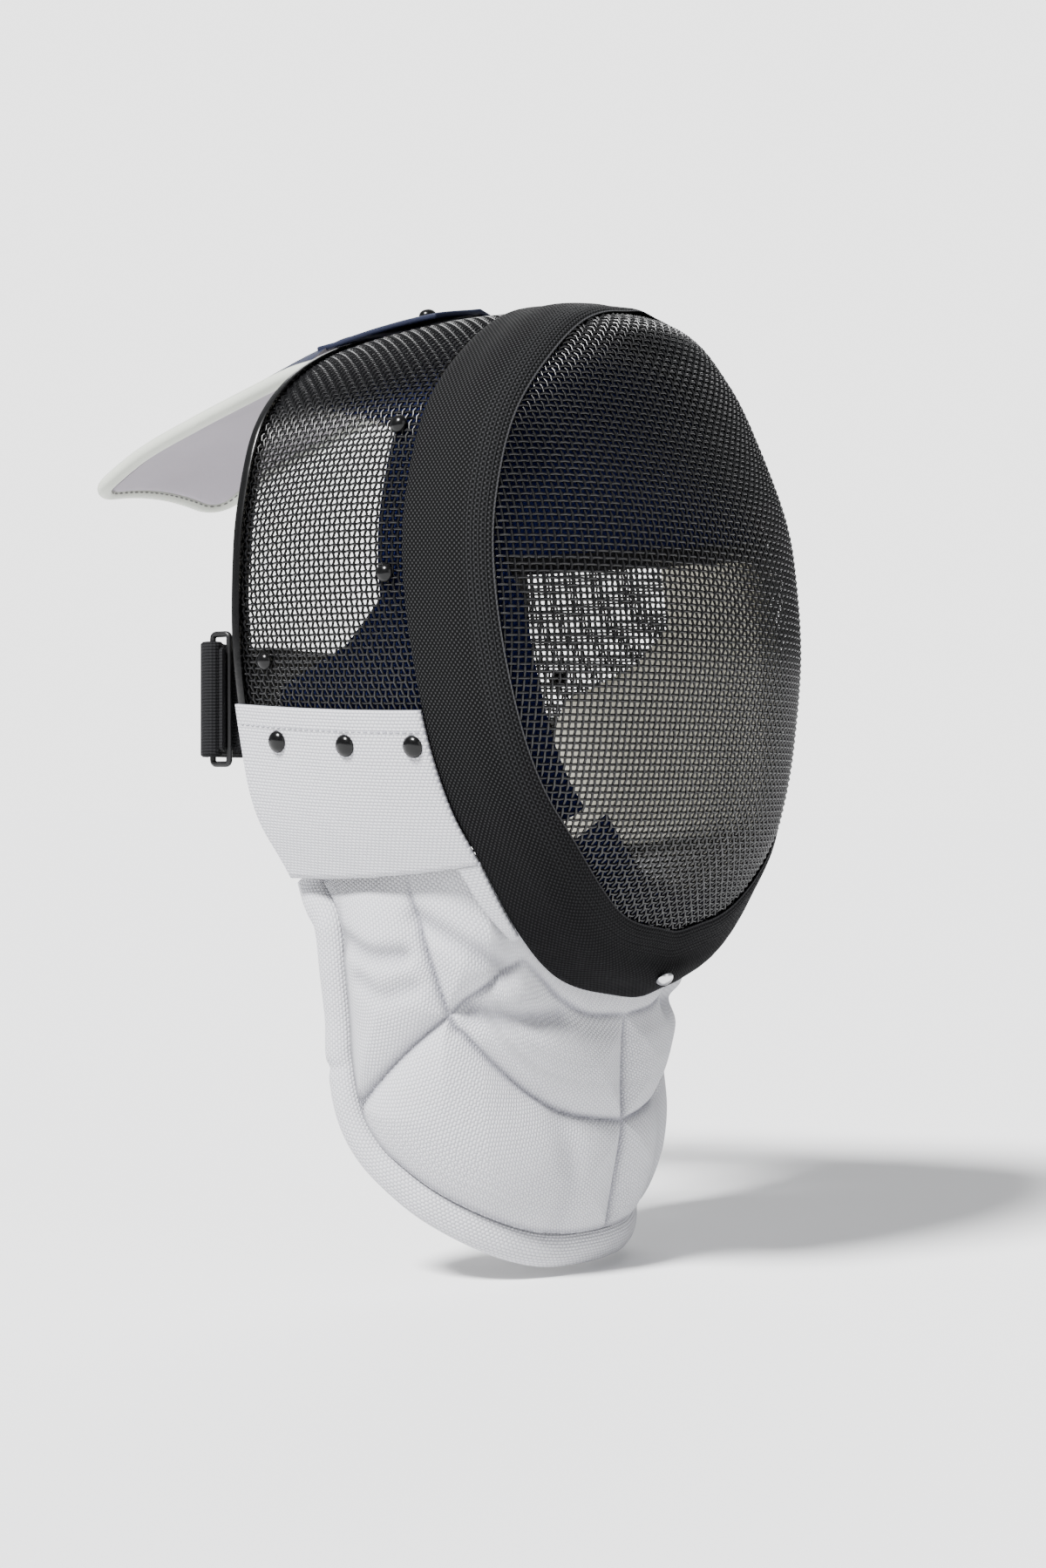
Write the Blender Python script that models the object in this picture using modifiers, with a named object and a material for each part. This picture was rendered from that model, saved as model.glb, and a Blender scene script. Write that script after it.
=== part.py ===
"""Fencing mask: a woven wire bowl and side shell, elastic trim, quilted bib, lining, tongue and back strap.

The origin is where the crown of the wearer's head meets the lining. The mask faces -Y, +X is the
wearer's left and +Z is up. Tables hold their lengths as shares of the named sizes.
"""
import math

import bmesh
import bpy
import numpy as np
from mathutils import Matrix, Vector

# Driving sizes, in metres
RIM_HEIGHT = 0.262
FACE_WIDTH = 0.208
RIM_ABOVE_SEAT = 0.015
RIM_AHEAD_OF_SEAT = 0.045
CHIN_FORWARD = 0.034
BOWL_DEPTH = 0.067
SHELL_DEPTH = 0.110
SIDE_BULGE = 0.004
MESH_THICKNESS = 0.002
CLEARANCE = 0.0004
SEAM_GAP = 0.0009

TRIM_WIDTH = 0.038
TRIM_THICKNESS = 0.0018
BINDING_WIDTH = 0.0060
BINDING_WALL = 0.0013
# Short lengths over which the face's own direction is taken
FACE_STEP = 0.002
EDGE_STEP = 0.006

PANEL_THICKNESS = 0.0022
PANEL_TURN_IN = 0.012
PANEL_TOP_DOWN = 0.160
WEDGE_WIDTH = 0.009

BIB_DROP = 0.164
BIB_HALF_WIDTH = 0.084
BIB_DEPTH = 0.088
BIB_THICKNESS = 0.0055
QUILT_HEIGHT = 0.0040
QUILT_REACH = 0.0072
BIB_TOP_LAP = 0.004
BIB_TOP_BLEND = 0.012
HEM_WIDTH = 0.0135
HEM_THICKNESS = 0.0085

PAD_THICKNESS = 0.008
PAD_STANDOFF = 0.0009
PAD_SPACING = 0.004
BROW_DOWN = 0.100
BROW_DEPTH = 0.025
BROW_TILT = 0.020
LINER_FRONT_REACH = 0.029
CHIN_PAD_THICKNESS = 0.004
CHIN_PAD_STANDOFF = 0.0023
CHIN_PAD_FRONT = 0.036
CHIN_PAD_REAR = 0.008
EAR_TOP_DOWN = 0.045
EAR_FRONT = 0.033

TONGUE_WIDTH = 0.086
TONGUE_LENGTH = 0.126
TONGUE_DROP = 0.057
TONGUE_THICKNESS = 0.0075
TONGUE_ROLL = 0.0085
TONGUE_CORNER = 0.016
TONGUE_GAP = 0.0018
TONGUE_SEAM = 0.0011
STRIP_THICKNESS = 0.0022
STRIP_WIDTH = 0.062
STRIP_REACH = 0.052

RIVET_WIDTH = 0.0072
PANEL_RIVET_WIDTH = 0.0086
RIVET_HEIGHT = 0.0026
PANEL_RIVET_INSET = 0.0125
CROWN_RIVET_SPACING = 0.034
CROWN_RIVET_REACH = 0.0375

STRAP_WIDTH = 0.045
STRAP_THICKNESS = 0.0016
STRAP_BULGE = 0.018
STRAP_DROP = 0.154
LOOP_HEIGHT = 0.053
LOOP_LENGTH = 0.0108
LOOP_BAR = 0.0024
LOOP_OFFSET = 0.0155
LOOP_INSET = 0.003
TAB_WIDTH = 0.040
TAB_THICKNESS = 0.0016
TAB_INSET = 0.0022
TAB_REACH = 0.010

UPPER_STATIONS = 17
LOWER_STATIONS = 7
STATIONS = UPPER_STATIONS + LOWER_STATIONS

# One row for each station round the right half of the rim, from crown to chin.
# down and edge_down are shares of RIM_HEIGHT, half and edge_half of half the FACE_WIDTH, ahead of
# CHIN_FORWARD, bowl of BOWL_DEPTH and edge_back of SHELL_DEPTH. The edge is the rear end of the side.
RIM = (
    # down, half, ahead, bowl, edge_down, edge_half, edge_back
    (0.000, 0.000, 0.00, 0.00, 0.008, 0.000, 1.000),
    (0.030, 0.400, 0.05, 0.41, 0.046, 0.330, 0.995),
    (0.099, 0.690, 0.09, 0.56, 0.105, 0.600, 0.985),
    (0.191, 0.885, 0.04, 0.72, 0.185, 0.790, 0.975),
    (0.305, 0.970, 0.00, 0.93, 0.297, 0.885, 0.970),
    (0.401, 1.000, 0.02, 0.99, 0.395, 0.920, 0.965),
    (0.523, 1.000, 0.14, 0.95, 0.515, 0.930, 0.955),
    (0.653, 0.960, 0.31, 0.80, 0.637, 0.915, 0.925),
    (0.744, 0.880, 0.45, 0.67, 0.752, 0.885, 0.875),
    (0.809, 0.790, 0.60, 0.50, 0.848, 0.805, 0.780),
    (0.905, 0.605, 0.71, 0.21, 1.038, 0.600, 0.660),
    (0.969, 0.370, 0.77, 0.06, 1.107, 0.370, 0.640),
    (1.000, 0.000, 0.94, 0.00, 1.140, 0.000, 0.590),
)
CORNER_ROW = 9
BOWL_CENTRE_DOWN = 0.49

# The bib's level sections. level is a share of BIB_DROP below its top, half of BIB_HALF_WIDTH,
# back and front of BIB_DEPTH behind the rim, and square is the power of the section's rounding.
BIB_SECTIONS = (
    # level, half, back, front, square
    (0.00, 1.000, 0.760, -0.230, 3.0),
    (0.22, 0.980, 0.735, -0.190, 2.7),
    (0.40, 0.950, 0.720, -0.115, 2.4),
    (0.56, 0.930, 0.720, -0.100, 2.2),
    (0.68, 0.900, 0.710, -0.100, 2.1),
    (0.86, 0.830, 0.660, -0.034, 2.0),
    (1.00, 0.770, 0.610, 0.010, 2.0),
)
# The bib's lower edge: round is the turn from its rear edge to the middle of its front
BIB_EDGE = (
    # round, level
    (0.00, 0.560),
    (0.03, 0.690),
    (0.08, 0.765),
    (0.16, 0.820),
    (0.28, 0.880),
    (0.44, 0.935),
    (0.60, 0.975),
    (0.75, 0.995),
    (1.00, 1.000),
)
# Seams of the quilting on the right half, each a line through a few places
BIB_SEAMS = (
    # (round, level), ...
    ((0.20, 0.00), (0.26, 0.16), (0.355, 0.38), (0.50, 0.50), (0.70, 0.61), (0.86, 0.64), (1.00, 0.655)),
    ((0.06, 0.57), (0.355, 0.38), (0.46, 0.31), (0.555, 0.25)),
    ((0.555, 0.25), (0.70, 0.35), (0.82, 0.39), (1.00, 0.40)),
    ((1.00, 0.40), (1.00, 0.65), (1.00, 1.00)),
)

# The middle line of the tongue, from the crown to its tip.
# along is a share of TONGUE_LENGTH, drop of TONGUE_DROP and arch, the sag to each side, of TONGUE_WIDTH
TONGUE_LINE = (
    # along, drop, arch
    (0.00, 0.00, 0.215),
    (0.10, 0.08, 0.180),
    (0.24, 0.21, 0.150),
    (0.50, 0.43, 0.120),
    (0.76, 0.67, 0.095),
    (1.00, 1.00, 0.070),
)

# Liner rivets on one side: down is a share of RIM_HEIGHT and reach, over the side, of SHELL_DEPTH
LINER_RIVETS = (
    # down, reach
    (0.214, 0.264),
    (0.422, 0.250),
)
# The rear liner rivet keeps its height above the panel; its reach is a share of SHELL_DEPTH
REAR_RIVET_ABOVE_PANEL = 0.018
REAR_RIVET_REACH = 0.855
# Panel rivets on one side, in a row below the panel's top: reach as a share of SHELL_DEPTH
PANEL_RIVETS = (0.232, 0.518, 0.836)

FINISHES = {
    # name: colour, roughness, metallic
    "wire_black": ((0.015, 0.015, 0.017, 1.0), 0.35, 0.3),
    "elastic_charcoal": ((0.022, 0.023, 0.025, 1.0), 0.85, 0.0),
    "binding_black": ((0.008, 0.008, 0.009, 1.0), 0.25, 0.0),
    "cloth_white": ((0.80, 0.80, 0.82, 1.0), 0.85, 0.0),
    "lining_navy": ((0.012, 0.016, 0.045, 1.0), 0.9, 0.0),
    "tongue_navy": ((0.012, 0.018, 0.050, 1.0), 0.6, 0.0),
    "tongue_lining": ((0.46, 0.43, 0.47, 1.0), 0.7, 0.0),
    "vinyl_cream": ((0.74, 0.76, 0.70, 1.0), 0.45, 0.0),
    "rivet_black": ((0.010, 0.010, 0.011, 1.0), 0.2, 0.4),
    "rivet_bright": ((0.62, 0.62, 0.63, 1.0), 0.2, 1.0),
    "elastic_black": ((0.012, 0.012, 0.013, 1.0), 0.8, 0.0),
    "plastic_black": ((0.014, 0.014, 0.015, 1.0), 0.4, 0.0),
}


def clear_scene():
    for old in list(bpy.data.objects):
        bpy.data.objects.remove(old, do_unlink=True)


def finish(name):
    material = bpy.data.materials.get(name)
    if material is None:
        colour, roughness, metallic = FINISHES[name]
        material = bpy.data.materials.new(name)
        material.use_nodes = True
        shader = material.node_tree.nodes["Principled BSDF"]
        shader.inputs["Base Color"].default_value = colour
        shader.inputs["Roughness"].default_value = roughness
        shader.inputs["Metallic"].default_value = metallic
    return material


def new_object(name, mesh, finish_name):
    piece = bpy.data.objects.new(name, mesh)
    mask_collection.objects.link(piece)
    mesh.materials.clear()
    mesh.materials.append(finish(finish_name))
    mesh.shade_smooth()
    mesh.set_sharp_from_angle(angle=math.radians(40))
    return piece


def lofted_mesh(name, grids, wrap_columns=False, cap_rows=False, outward_from=None):
    """A mesh through grids of points, each shaped rows x columns x 3, welded where they meet.

    Every cell is split along the same diagonal, so that one skin laid over another never cuts it.
    """
    mesh = bpy.data.meshes.new(name)
    points = []
    faces = []
    for grid in grids:
        first = len(points)
        rows, columns = grid.shape[:2]
        points.extend(tuple(point) for point in grid.reshape(-1, 3))
        for row in range(rows - 1):
            for column in range(columns if wrap_columns else columns - 1):
                a = first + row * columns + column
                b = first + row * columns + (column + 1) % columns
                faces.append((a, b, b + columns))
                faces.append((a, b + columns, a + columns))
        if cap_rows:
            faces.append(tuple(range(first, first + columns))[::-1])
            faces.append(tuple(range(first + (rows - 1) * columns, first + rows * columns)))
    mesh.from_pydata(points, [], faces)
    working = bmesh.new()
    working.from_mesh(mesh)
    bmesh.ops.remove_doubles(working, verts=working.verts, dist=1e-6)
    bmesh.ops.recalc_face_normals(working, faces=working.faces)
    if outward_from is not None:
        centre = Vector(outward_from)
        facing = sum(face.normal.dot(face.calc_center_median() - centre) * face.calc_area()
                     for face in working.faces)
        if facing < 0:
            bmesh.ops.reverse_faces(working, faces=working.faces)
    working.to_mesh(mesh)
    working.free()
    return mesh


def shell(name, grids, thickness, outward, finish_name, wrap_columns=False):
    """An open surface given a wall: outward puts the wall outside the surface, else inside it."""
    centre = (0.0, RIM_AHEAD_OF_SEAT, RIM_ABOVE_SEAT - RIM_HEIGHT / 2)
    mesh = lofted_mesh(name, grids, wrap_columns=wrap_columns, outward_from=centre)
    piece = new_object(name, mesh, finish_name)
    add_wall(piece, thickness, outward)
    return piece


def add_wall(piece, thickness, outward):
    wall = piece.modifiers.new("wall", "SOLIDIFY")
    wall.thickness = thickness
    wall.offset = 1.0 if outward else -1.0
    wall.use_quality_normals = True


def mirror_mesh(mesh, name):
    """A copy of a mesh for the other side of the mask."""
    copy = mesh.copy()
    copy.name = name
    copy.transform(Matrix.Scale(-1.0, 4, (1.0, 0.0, 0.0)))
    copy.flip_normals()
    return copy


def smooth_rows(rows, steps):
    """A Catmull-Rom curve through the rows, with steps points to each span."""
    rows = np.asarray(rows, dtype=float)
    padded = np.vstack([2 * rows[0] - rows[1], rows, 2 * rows[-1] - rows[-2]])
    share = np.linspace(0.0, 1.0, steps, endpoint=False)[:, None]
    spans = []
    for index in range(1, len(padded) - 2):
        before, start, end, after = padded[index - 1:index + 3]
        spans.append(0.5 * (2 * start + (end - before) * share
                            + (2 * before - 5 * start + 4 * end - after) * share ** 2
                            + (3 * start - before - 3 * end + after) * share ** 3))
    return np.vstack(spans + [rows[-1:]])


def arc_lengths(points):
    steps = np.linalg.norm(np.diff(points, axis=0), axis=1)
    return np.concatenate([[0.0], np.cumsum(steps)])


def column_interp(at, known, values):
    return np.stack([np.interp(at, known, values[:, axis]) for axis in range(values.shape[1])], axis=-1)


class Shape:
    """The outer face of the mesh: a bowl ahead of the rim and a side behind it.

    A place on it is a station round the rim and a reach, negative over the bowl and positive
    over the side, measured along the surface from the rim.
    """

    STEPS = 24

    def __init__(self):
        half_width = FACE_WIDTH / 2
        dense = smooth_rows(RIM, self.STEPS)
        rim = np.stack([dense[:, 1] * half_width,
                        -RIM_AHEAD_OF_SEAT - dense[:, 2] * CHIN_FORWARD,
                        RIM_ABOVE_SEAT - dense[:, 0] * RIM_HEIGHT], axis=1)
        edge = np.stack([dense[:, 5] * half_width,
                         -RIM_AHEAD_OF_SEAT + dense[:, 6] * SHELL_DEPTH,
                         RIM_ABOVE_SEAT - dense[:, 4] * RIM_HEIGHT], axis=1)
        bowl = dense[:, 3] * BOWL_DEPTH
        order = np.argsort(rim[:, 2])
        self.heights = rim[order, 2]
        self.widths = rim[order, 0]
        self.planes = rim[order, 1]
        self.depths = bowl[order]
        length = arc_lengths(rim)
        corner = length[CORNER_ROW * self.STEPS]
        upper = np.linspace(0.0, corner, UPPER_STATIONS + 1)
        lower = np.linspace(corner, length[-1], LOWER_STATIONS + 1)[1:]
        stations = np.concatenate([upper, lower])
        half_rim = column_interp(stations, length, rim)
        half_edge = column_interp(stations, length, edge)
        mirror = np.array([-1.0, 1.0, 1.0])
        self.rim = np.vstack([half_rim * mirror, half_rim[-2:0:-1]])
        self.edge = np.vstack([half_edge * mirror, half_edge[-2:0:-1]])
        self.centre_height = RIM_ABOVE_SEAT - BOWL_CENTRE_DOWN * RIM_HEIGHT
        self.front_lines = [self.front_line(point) for point in self.rim]
        self.side_lines = [self.side_line(a, b) for a, b in zip(self.rim, self.edge)]
        self.front_reach = np.array([arc_lengths(line)[-1] for line in self.front_lines])
        self.side_reach = np.array([arc_lengths(line)[-1] for line in self.side_lines])

    def bowl_y(self, x, z):
        width = np.maximum(np.interp(z, self.heights, self.widths), 1e-6)
        inside = np.maximum(0.0, 1.0 - (x / width) ** 2)
        return np.interp(z, self.heights, self.planes) - np.interp(z, self.heights, self.depths) * np.sqrt(inside)

    def front_line(self, point):
        turn = np.linspace(0.0, math.pi / 2, 60)
        x = point[0] * np.cos(turn)
        z = self.centre_height + (point[2] - self.centre_height) * np.cos(turn)
        line = np.stack([x, self.bowl_y(x, z), z], axis=1)
        line[0] = point
        return line

    def side_line(self, start, end):
        share = np.linspace(0.0, 1.0, 20)[:, None]
        outward = np.array([start[0], 0.0, start[2] - self.centre_height])
        outward /= np.linalg.norm(outward)
        return start + (end - start) * share + outward * SIDE_BULGE * 4 * share * (1 - share)

    def face(self, reach):
        """Points at one reach for every station; reach is a number or one number for each station."""
        reach = np.broadcast_to(reach, (len(self.rim),))
        points = np.empty((len(self.rim), 3))
        for index, value in enumerate(reach):
            line = self.front_lines[index] if value < 0 else self.side_lines[index]
            points[index] = column_interp(abs(value), arc_lengths(line), line)
        return points

    def row(self, reach, lift=0.0):
        """Points at one reach, lifted off the face along its outward normal."""
        points = self.face(reach)
        if lift == 0.0:
            return points
        along = self.face(np.asarray(reach) + FACE_STEP) - self.face(np.asarray(reach) - FACE_STEP)
        around = np.roll(points, -1, axis=0) - np.roll(points, 1, axis=0)
        normal = np.cross(around, along)
        normal /= np.linalg.norm(normal, axis=1)[:, None]
        centre = np.array([0.0, 0.0, self.centre_height])
        facing = np.sign(np.sum(normal * (points - centre), axis=1))[:, None]
        return points + normal * facing * lift

    def station_at(self, down):
        """The station number, with its fraction, of the right half rim this far down from its top."""
        height = RIM_ABOVE_SEAT - down
        right = self.rim[:STATIONS + 1, 2]
        return float(np.interp(-height, -right, np.arange(STATIONS + 1)))

    def seat(self, station, reach, lift):
        """A point and outward normal on the facets between stations."""
        low = int(math.floor(station))
        share = station - low
        row = self.row(reach, lift)
        ahead = self.row(reach + FACE_STEP, lift)
        point = row[low] * (1 - share) + row[low + 1] * share
        beyond = ahead[low] * (1 - share) + ahead[low + 1] * share
        normal = np.cross(beyond - point, row[low + 1] - row[low])
        normal /= np.linalg.norm(normal)
        if np.dot(normal, point - np.array([0.0, 0.0, self.centre_height])) < 0:
            normal = -normal
        return point, normal


def mirrored(points):
    return points * np.array([-1.0, 1.0, 1.0])


def arch(row):
    """A row's stations from the right lower corner over the crown to the left lower corner."""
    return np.vstack([row[UPPER_STATIONS:0:-1], row[0:1], row[:-UPPER_STATIONS - 1:-1]])


def make_front_mesh(shape):
    trim_reach = TRIM_WIDTH / 2
    rows = [shape.row(-SEAM_GAP), shape.row(-trim_reach / 2), shape.row(-trim_reach)]
    for share in (0.14, 0.28, 0.42, 0.56, 0.70, 0.84, 1.0):
        rows.append(shape.row(-(trim_reach + (shape.front_reach - trim_reach) * share)))
    shell("front_mesh", [np.array(rows[::-1])], MESH_THICKNESS, False, "wire_black", wrap_columns=True)


def make_side_mesh(shape):
    trim_reach = TRIM_WIDTH / 2
    rows = [arch(shape.row(SEAM_GAP)), arch(shape.row(trim_reach / 2)), arch(shape.row(trim_reach))]
    for share in (0.2, 0.4, 0.6, 0.8, 1.0):
        rows.append(arch(shape.row(trim_reach + (shape.side_reach - trim_reach) * share)))
    shell("side_mesh", [np.array(rows)], MESH_THICKNESS, False, "wire_black")


def make_trim_band(shape):
    half = TRIM_WIDTH / 2
    reaches = (-half, -half / 2, -SEAM_GAP, SEAM_GAP, half / 2, half)
    rows = [shape.row(reach, CLEARANCE) for reach in reaches]
    shell("trim_band", [np.array(rows)], TRIM_THICKNESS, True, "elastic_charcoal", wrap_columns=True)


def swept(name, profile, origins, across, along, finish_name):
    """A closed profile carried through frames: its first axis runs across, its second along."""
    rings = [origin + profile[:, :1] * a + profile[:, 1:] * b
             for origin, a, b in zip(origins, across, along)]
    grid = np.array(rings)
    return new_object(name, lofted_mesh(name, [grid], wrap_columns=True, cap_rows=True), finish_name)


def octagon(width, height):
    """An eight-sided oval whose flat sides stand this far apart."""
    turn = np.linspace(0.0, 2 * math.pi, 8, endpoint=False) + math.pi / 8
    return np.stack([np.cos(turn) * width, np.sin(turn) * height], axis=1) / 2 / math.cos(math.pi / 8)


def unit(vectors):
    return vectors / np.linalg.norm(vectors, axis=-1, keepdims=True)


def make_rear_binding(shape):
    """A channel folded over the rear edge, from the top of one white panel to the other."""
    last = int(shape.station_at(PANEL_TOP_DOWN))
    edge = shape.row(shape.side_reach)
    lifted = shape.row(shape.side_reach, CLEARANCE)
    before = shape.row(shape.side_reach - EDGE_STEP)
    keep = slice(UPPER_STATIONS - last, UPPER_STATIONS + last + 1)
    origins = arch(edge)[keep]
    across = unit(arch(lifted - edge)[keep])
    along = unit(arch(edge - before)[keep])
    outer = CLEARANCE + BINDING_WALL
    inner = -MESH_THICKNESS - outer
    leg = -BINDING_WIDTH + outer
    profile = np.array([
        (outer, leg), (outer, BINDING_WALL / 2), (outer - BINDING_WALL / 2, outer),
        (inner + BINDING_WALL / 2, outer), (inner, BINDING_WALL / 2), (inner, leg),
        (inner + BINDING_WALL, leg), (inner + BINDING_WALL, CLEARANCE),
        (CLEARANCE, CLEARANCE), (CLEARANCE, leg)])
    swept("rear_binding", profile, origins, across, along, "binding_black")


def make_side_panels(shape):
    """White cloth over the lower side, folded in over the rear edge, with a wedge beside the trim."""
    first = shape.station_at(PANEL_TOP_DOWN)
    front = TRIM_WIDTH / 2 + CLEARANCE
    body = front + WEDGE_WIDTH

    def full(row):
        whole = row[int(first):UPPER_STATIONS + 1].copy()
        whole[0] += (whole[1] - whole[0]) * (first % 1.0)
        return whole

    rows = [full(shape.row(front, CLEARANCE))]
    for share in (0.0, 0.25, 0.5, 0.75, 1.0):
        rows.append(full(shape.row(body + (shape.side_reach - body) * share, CLEARANCE)))
    edge = shape.row(shape.side_reach)
    out = unit(shape.row(shape.side_reach, CLEARANCE) - edge)
    along = unit(edge - shape.row(shape.side_reach - EDGE_STEP))
    inside = -MESH_THICKNESS - CLEARANCE
    for lift, reach in ((-MESH_THICKNESS / 2, 2 * CLEARANCE), (inside, CLEARANCE), (inside, -PANEL_TURN_IN)):
        rows.append(full(edge + out * lift + along * reach))
    wedge_part = slice(UPPER_STATIONS, UPPER_STATIONS + 3)
    narrowing = np.ones(len(shape.rim))
    narrowing[wedge_part] = (1.0, 0.8, 0.3)
    wedge = [shape.row(front, CLEARANCE)[wedge_part],
             shape.row(front + WEDGE_WIDTH * narrowing, CLEARANCE)[wedge_part]]
    centre = (0.0, RIM_AHEAD_OF_SEAT, RIM_ABOVE_SEAT - RIM_HEIGHT / 2)
    right = lofted_mesh("side_panel_right", [np.array(rows), np.array(wedge)], outward_from=centre)
    left = mirror_mesh(right, "side_panel_left")
    for name, mesh in (("side_panel_right", right), ("side_panel_left", left)):
        add_wall(new_object(name, mesh, "cloth_white"), PANEL_THICKNESS, True)


class Bib:
    """The bib's face. A place on it is a turn, 0 at its rear edge and 1 at the middle of its front,
    and a level, 0 at its top and 1 at its tip."""

    def __init__(self):
        self.top = RIM_ABOVE_SEAT - RIM[CORNER_ROW][0] * RIM_HEIGHT
        table = smooth_rows(BIB_SECTIONS, 10)
        self.levels = table[:, 0]
        self.sections = table[:, 1:]
        edge = smooth_rows(BIB_EDGE, 10)
        self.edge_turns = edge[:, 0]
        self.edge_levels = edge[:, 1]
        self.seams = [np.array(seam) for seam in BIB_SEAMS]

    def point(self, turn, level):
        half, back, front, square = [np.interp(level, self.levels, self.sections[:, k]) for k in range(4)]
        half = half * BIB_HALF_WIDTH
        back = back * BIB_DEPTH
        front = front * BIB_DEPTH
        angle = np.asarray(turn) * math.pi / 2
        power = np.abs(np.cos(angle)) ** square + np.abs(np.sin(angle)) ** square
        rounding = power ** (-1.0 / square)
        x = -half * rounding * np.cos(angle)
        y = -RIM_AHEAD_OF_SEAT + back - (back - front) * rounding * np.sin(angle)
        z = self.top - level * BIB_DROP + 0 * x
        return np.stack([x, y, z], axis=-1)

    def place(self, point):
        """The turn and level of a point near the face."""
        level = (self.top - point[2]) / BIB_DROP
        half, back, front = [np.interp(level, self.levels, self.sections[:, k]) for k in range(3)]
        across = abs(point[0]) / (half * BIB_HALF_WIDTH)
        ahead = (back * BIB_DEPTH - RIM_AHEAD_OF_SEAT - point[1]) / ((back - front) * BIB_DEPTH)
        return math.atan2(ahead, across) / (math.pi / 2), level

    def bottom_level(self, turn):
        return np.interp(turn, self.edge_turns, self.edge_levels)

    def quilting(self, points, edge_line):
        """The height of the padding at each point, which falls to nothing at the seams and the hem."""
        lines = [edge_line]
        for seam in self.seams:
            fine = smooth_rows(seam, 8)
            line = self.point(fine[:, 0], fine[:, 1])
            lines += [line, mirrored(line)]
        nearest = np.full(points.shape[:-1], np.inf)
        for line in lines:
            start = line[:-1]
            step = line[1:] - start
            offset = points[..., None, :] - start
            share = np.clip(np.sum(offset * step, axis=-1) / np.sum(step * step, axis=-1), 0.0, 1.0)
            gap = np.linalg.norm(offset - step * share[..., None], axis=-1)
            nearest = np.minimum(nearest, gap.min(axis=-1))
        return QUILT_HEIGHT * (1.0 - np.exp(-nearest / QUILT_REACH))


def bib_top(shape):
    """The bib's upper edge on the right half: below the white panel, then behind the trim to the chin."""
    under = -MESH_THICKNESS - PANEL_THICKNESS - 4 * CLEARANCE
    points = []
    corner_reach = shape.side_reach[UPPER_STATIONS] - PANEL_TURN_IN
    for share in np.linspace(0.0, 1.0, 12)[:-1]:
        reach = corner_reach + (TRIM_WIDTH / 2 - corner_reach) * share
        points.append(shape.row(reach, under)[UPPER_STATIONS])
    for station in range(UPPER_STATIONS, STATIONS + 1):
        points.append(shape.row(TRIM_WIDTH / 2 - BIB_TOP_LAP, under)[station])
    return np.array(points)


def bib_grid(shape, bib):
    edge = bib_top(shape)
    places = np.array([bib.place(point) for point in edge])
    edge_turns = np.maximum.accumulate(np.clip(places[:, 0], 0.0, 1.0)) + np.arange(len(edge)) * 1e-6
    turns = np.linspace(0.0, 1.0, 21) ** 1.3
    top = column_interp(turns, edge_turns, edge)
    start = np.interp(turns, edge_turns, places[:, 1])
    stop = bib.bottom_level(turns) - HEM_WIDTH / BIB_DROP
    rows = []
    for share in np.linspace(0.0, 1.0, 13):
        level = start + (stop - start) * share
        row = bib.point(turns, level)
        if share == 0.0:
            first_gap = top - row
        fade = np.exp(-((level - start) * BIB_DROP / BIB_TOP_BLEND) ** 2)[:, None]
        rows.append(row + first_gap * fade)
    right = np.array(rows)
    grid = np.concatenate([right, mirrored(right[:, -2::-1])], axis=1)
    return grid


def make_bib(shape, bib):
    grid = bib_grid(shape, bib)
    height = bib.quilting(grid, np.vstack([grid[:, 0], grid[-1, 1:-1], grid[::-1, -1]]))
    along = np.gradient(grid, axis=0)
    around = np.gradient(grid, axis=1)
    normal = unit(np.cross(along, around))
    middle = np.array([0.0, 0.0, grid[..., 2].mean()])
    flip = np.sign(np.sum(normal * (grid - middle), axis=-1, keepdims=True))
    fade = np.clip(np.linspace(0.0, 4.0, grid.shape[0]), 0.0, 1.0)[:, None, None]
    puffed = grid + normal * flip * height[..., None] * fade
    shell("bib", [puffed], BIB_THICKNESS, False, "cloth_white")
    return grid


def make_bib_hem(grid):
    """The fat hem, an oval swept along the bib's free edges from one rear corner round to the other."""
    right_edge = grid[3:, 0]
    left_edge = grid[3:, -1]
    bottom = grid[-1]
    route = np.vstack([right_edge, bottom[1:-1], left_edge[::-1]])
    inward = np.vstack([grid[3:, 1] - right_edge, grid[-2, 1:-1] - bottom[1:-1], (grid[3:, -2] - left_edge)[::-1]])
    tangent = unit(np.gradient(route, axis=0))
    inward = unit(inward - tangent * np.sum(inward * tangent, axis=1, keepdims=True))
    off = unit(np.cross(tangent, inward))
    middle = np.array([0.0, 0.0, grid[..., 2].mean()])
    off *= np.sign(np.sum(off * (route - middle), axis=1, keepdims=True))
    centre = route - inward * (HEM_WIDTH / 2 + 2 * CLEARANCE) - off * BIB_THICKNESS / 2
    swept("bib_hem", octagon(HEM_WIDTH, HEM_THICKNESS), centre, inward, off, "cloth_white")


def pad(name, rows, mirror_name=None, thickness=PAD_THICKNESS):
    """A soft pad: an open surface with a wall inside it."""
    centre = (0.0, RIM_AHEAD_OF_SEAT, RIM_ABOVE_SEAT - RIM_HEIGHT / 2)
    mesh = lofted_mesh(name, [np.array(rows)], outward_from=centre)
    pieces = [(name, mesh)]
    if mirror_name:
        pieces.append((mirror_name, mirror_mesh(mesh, mirror_name)))
    for piece_name, piece_mesh in pieces:
        add_wall(new_object(piece_name, piece_mesh, "lining_navy"), thickness, False)


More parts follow.
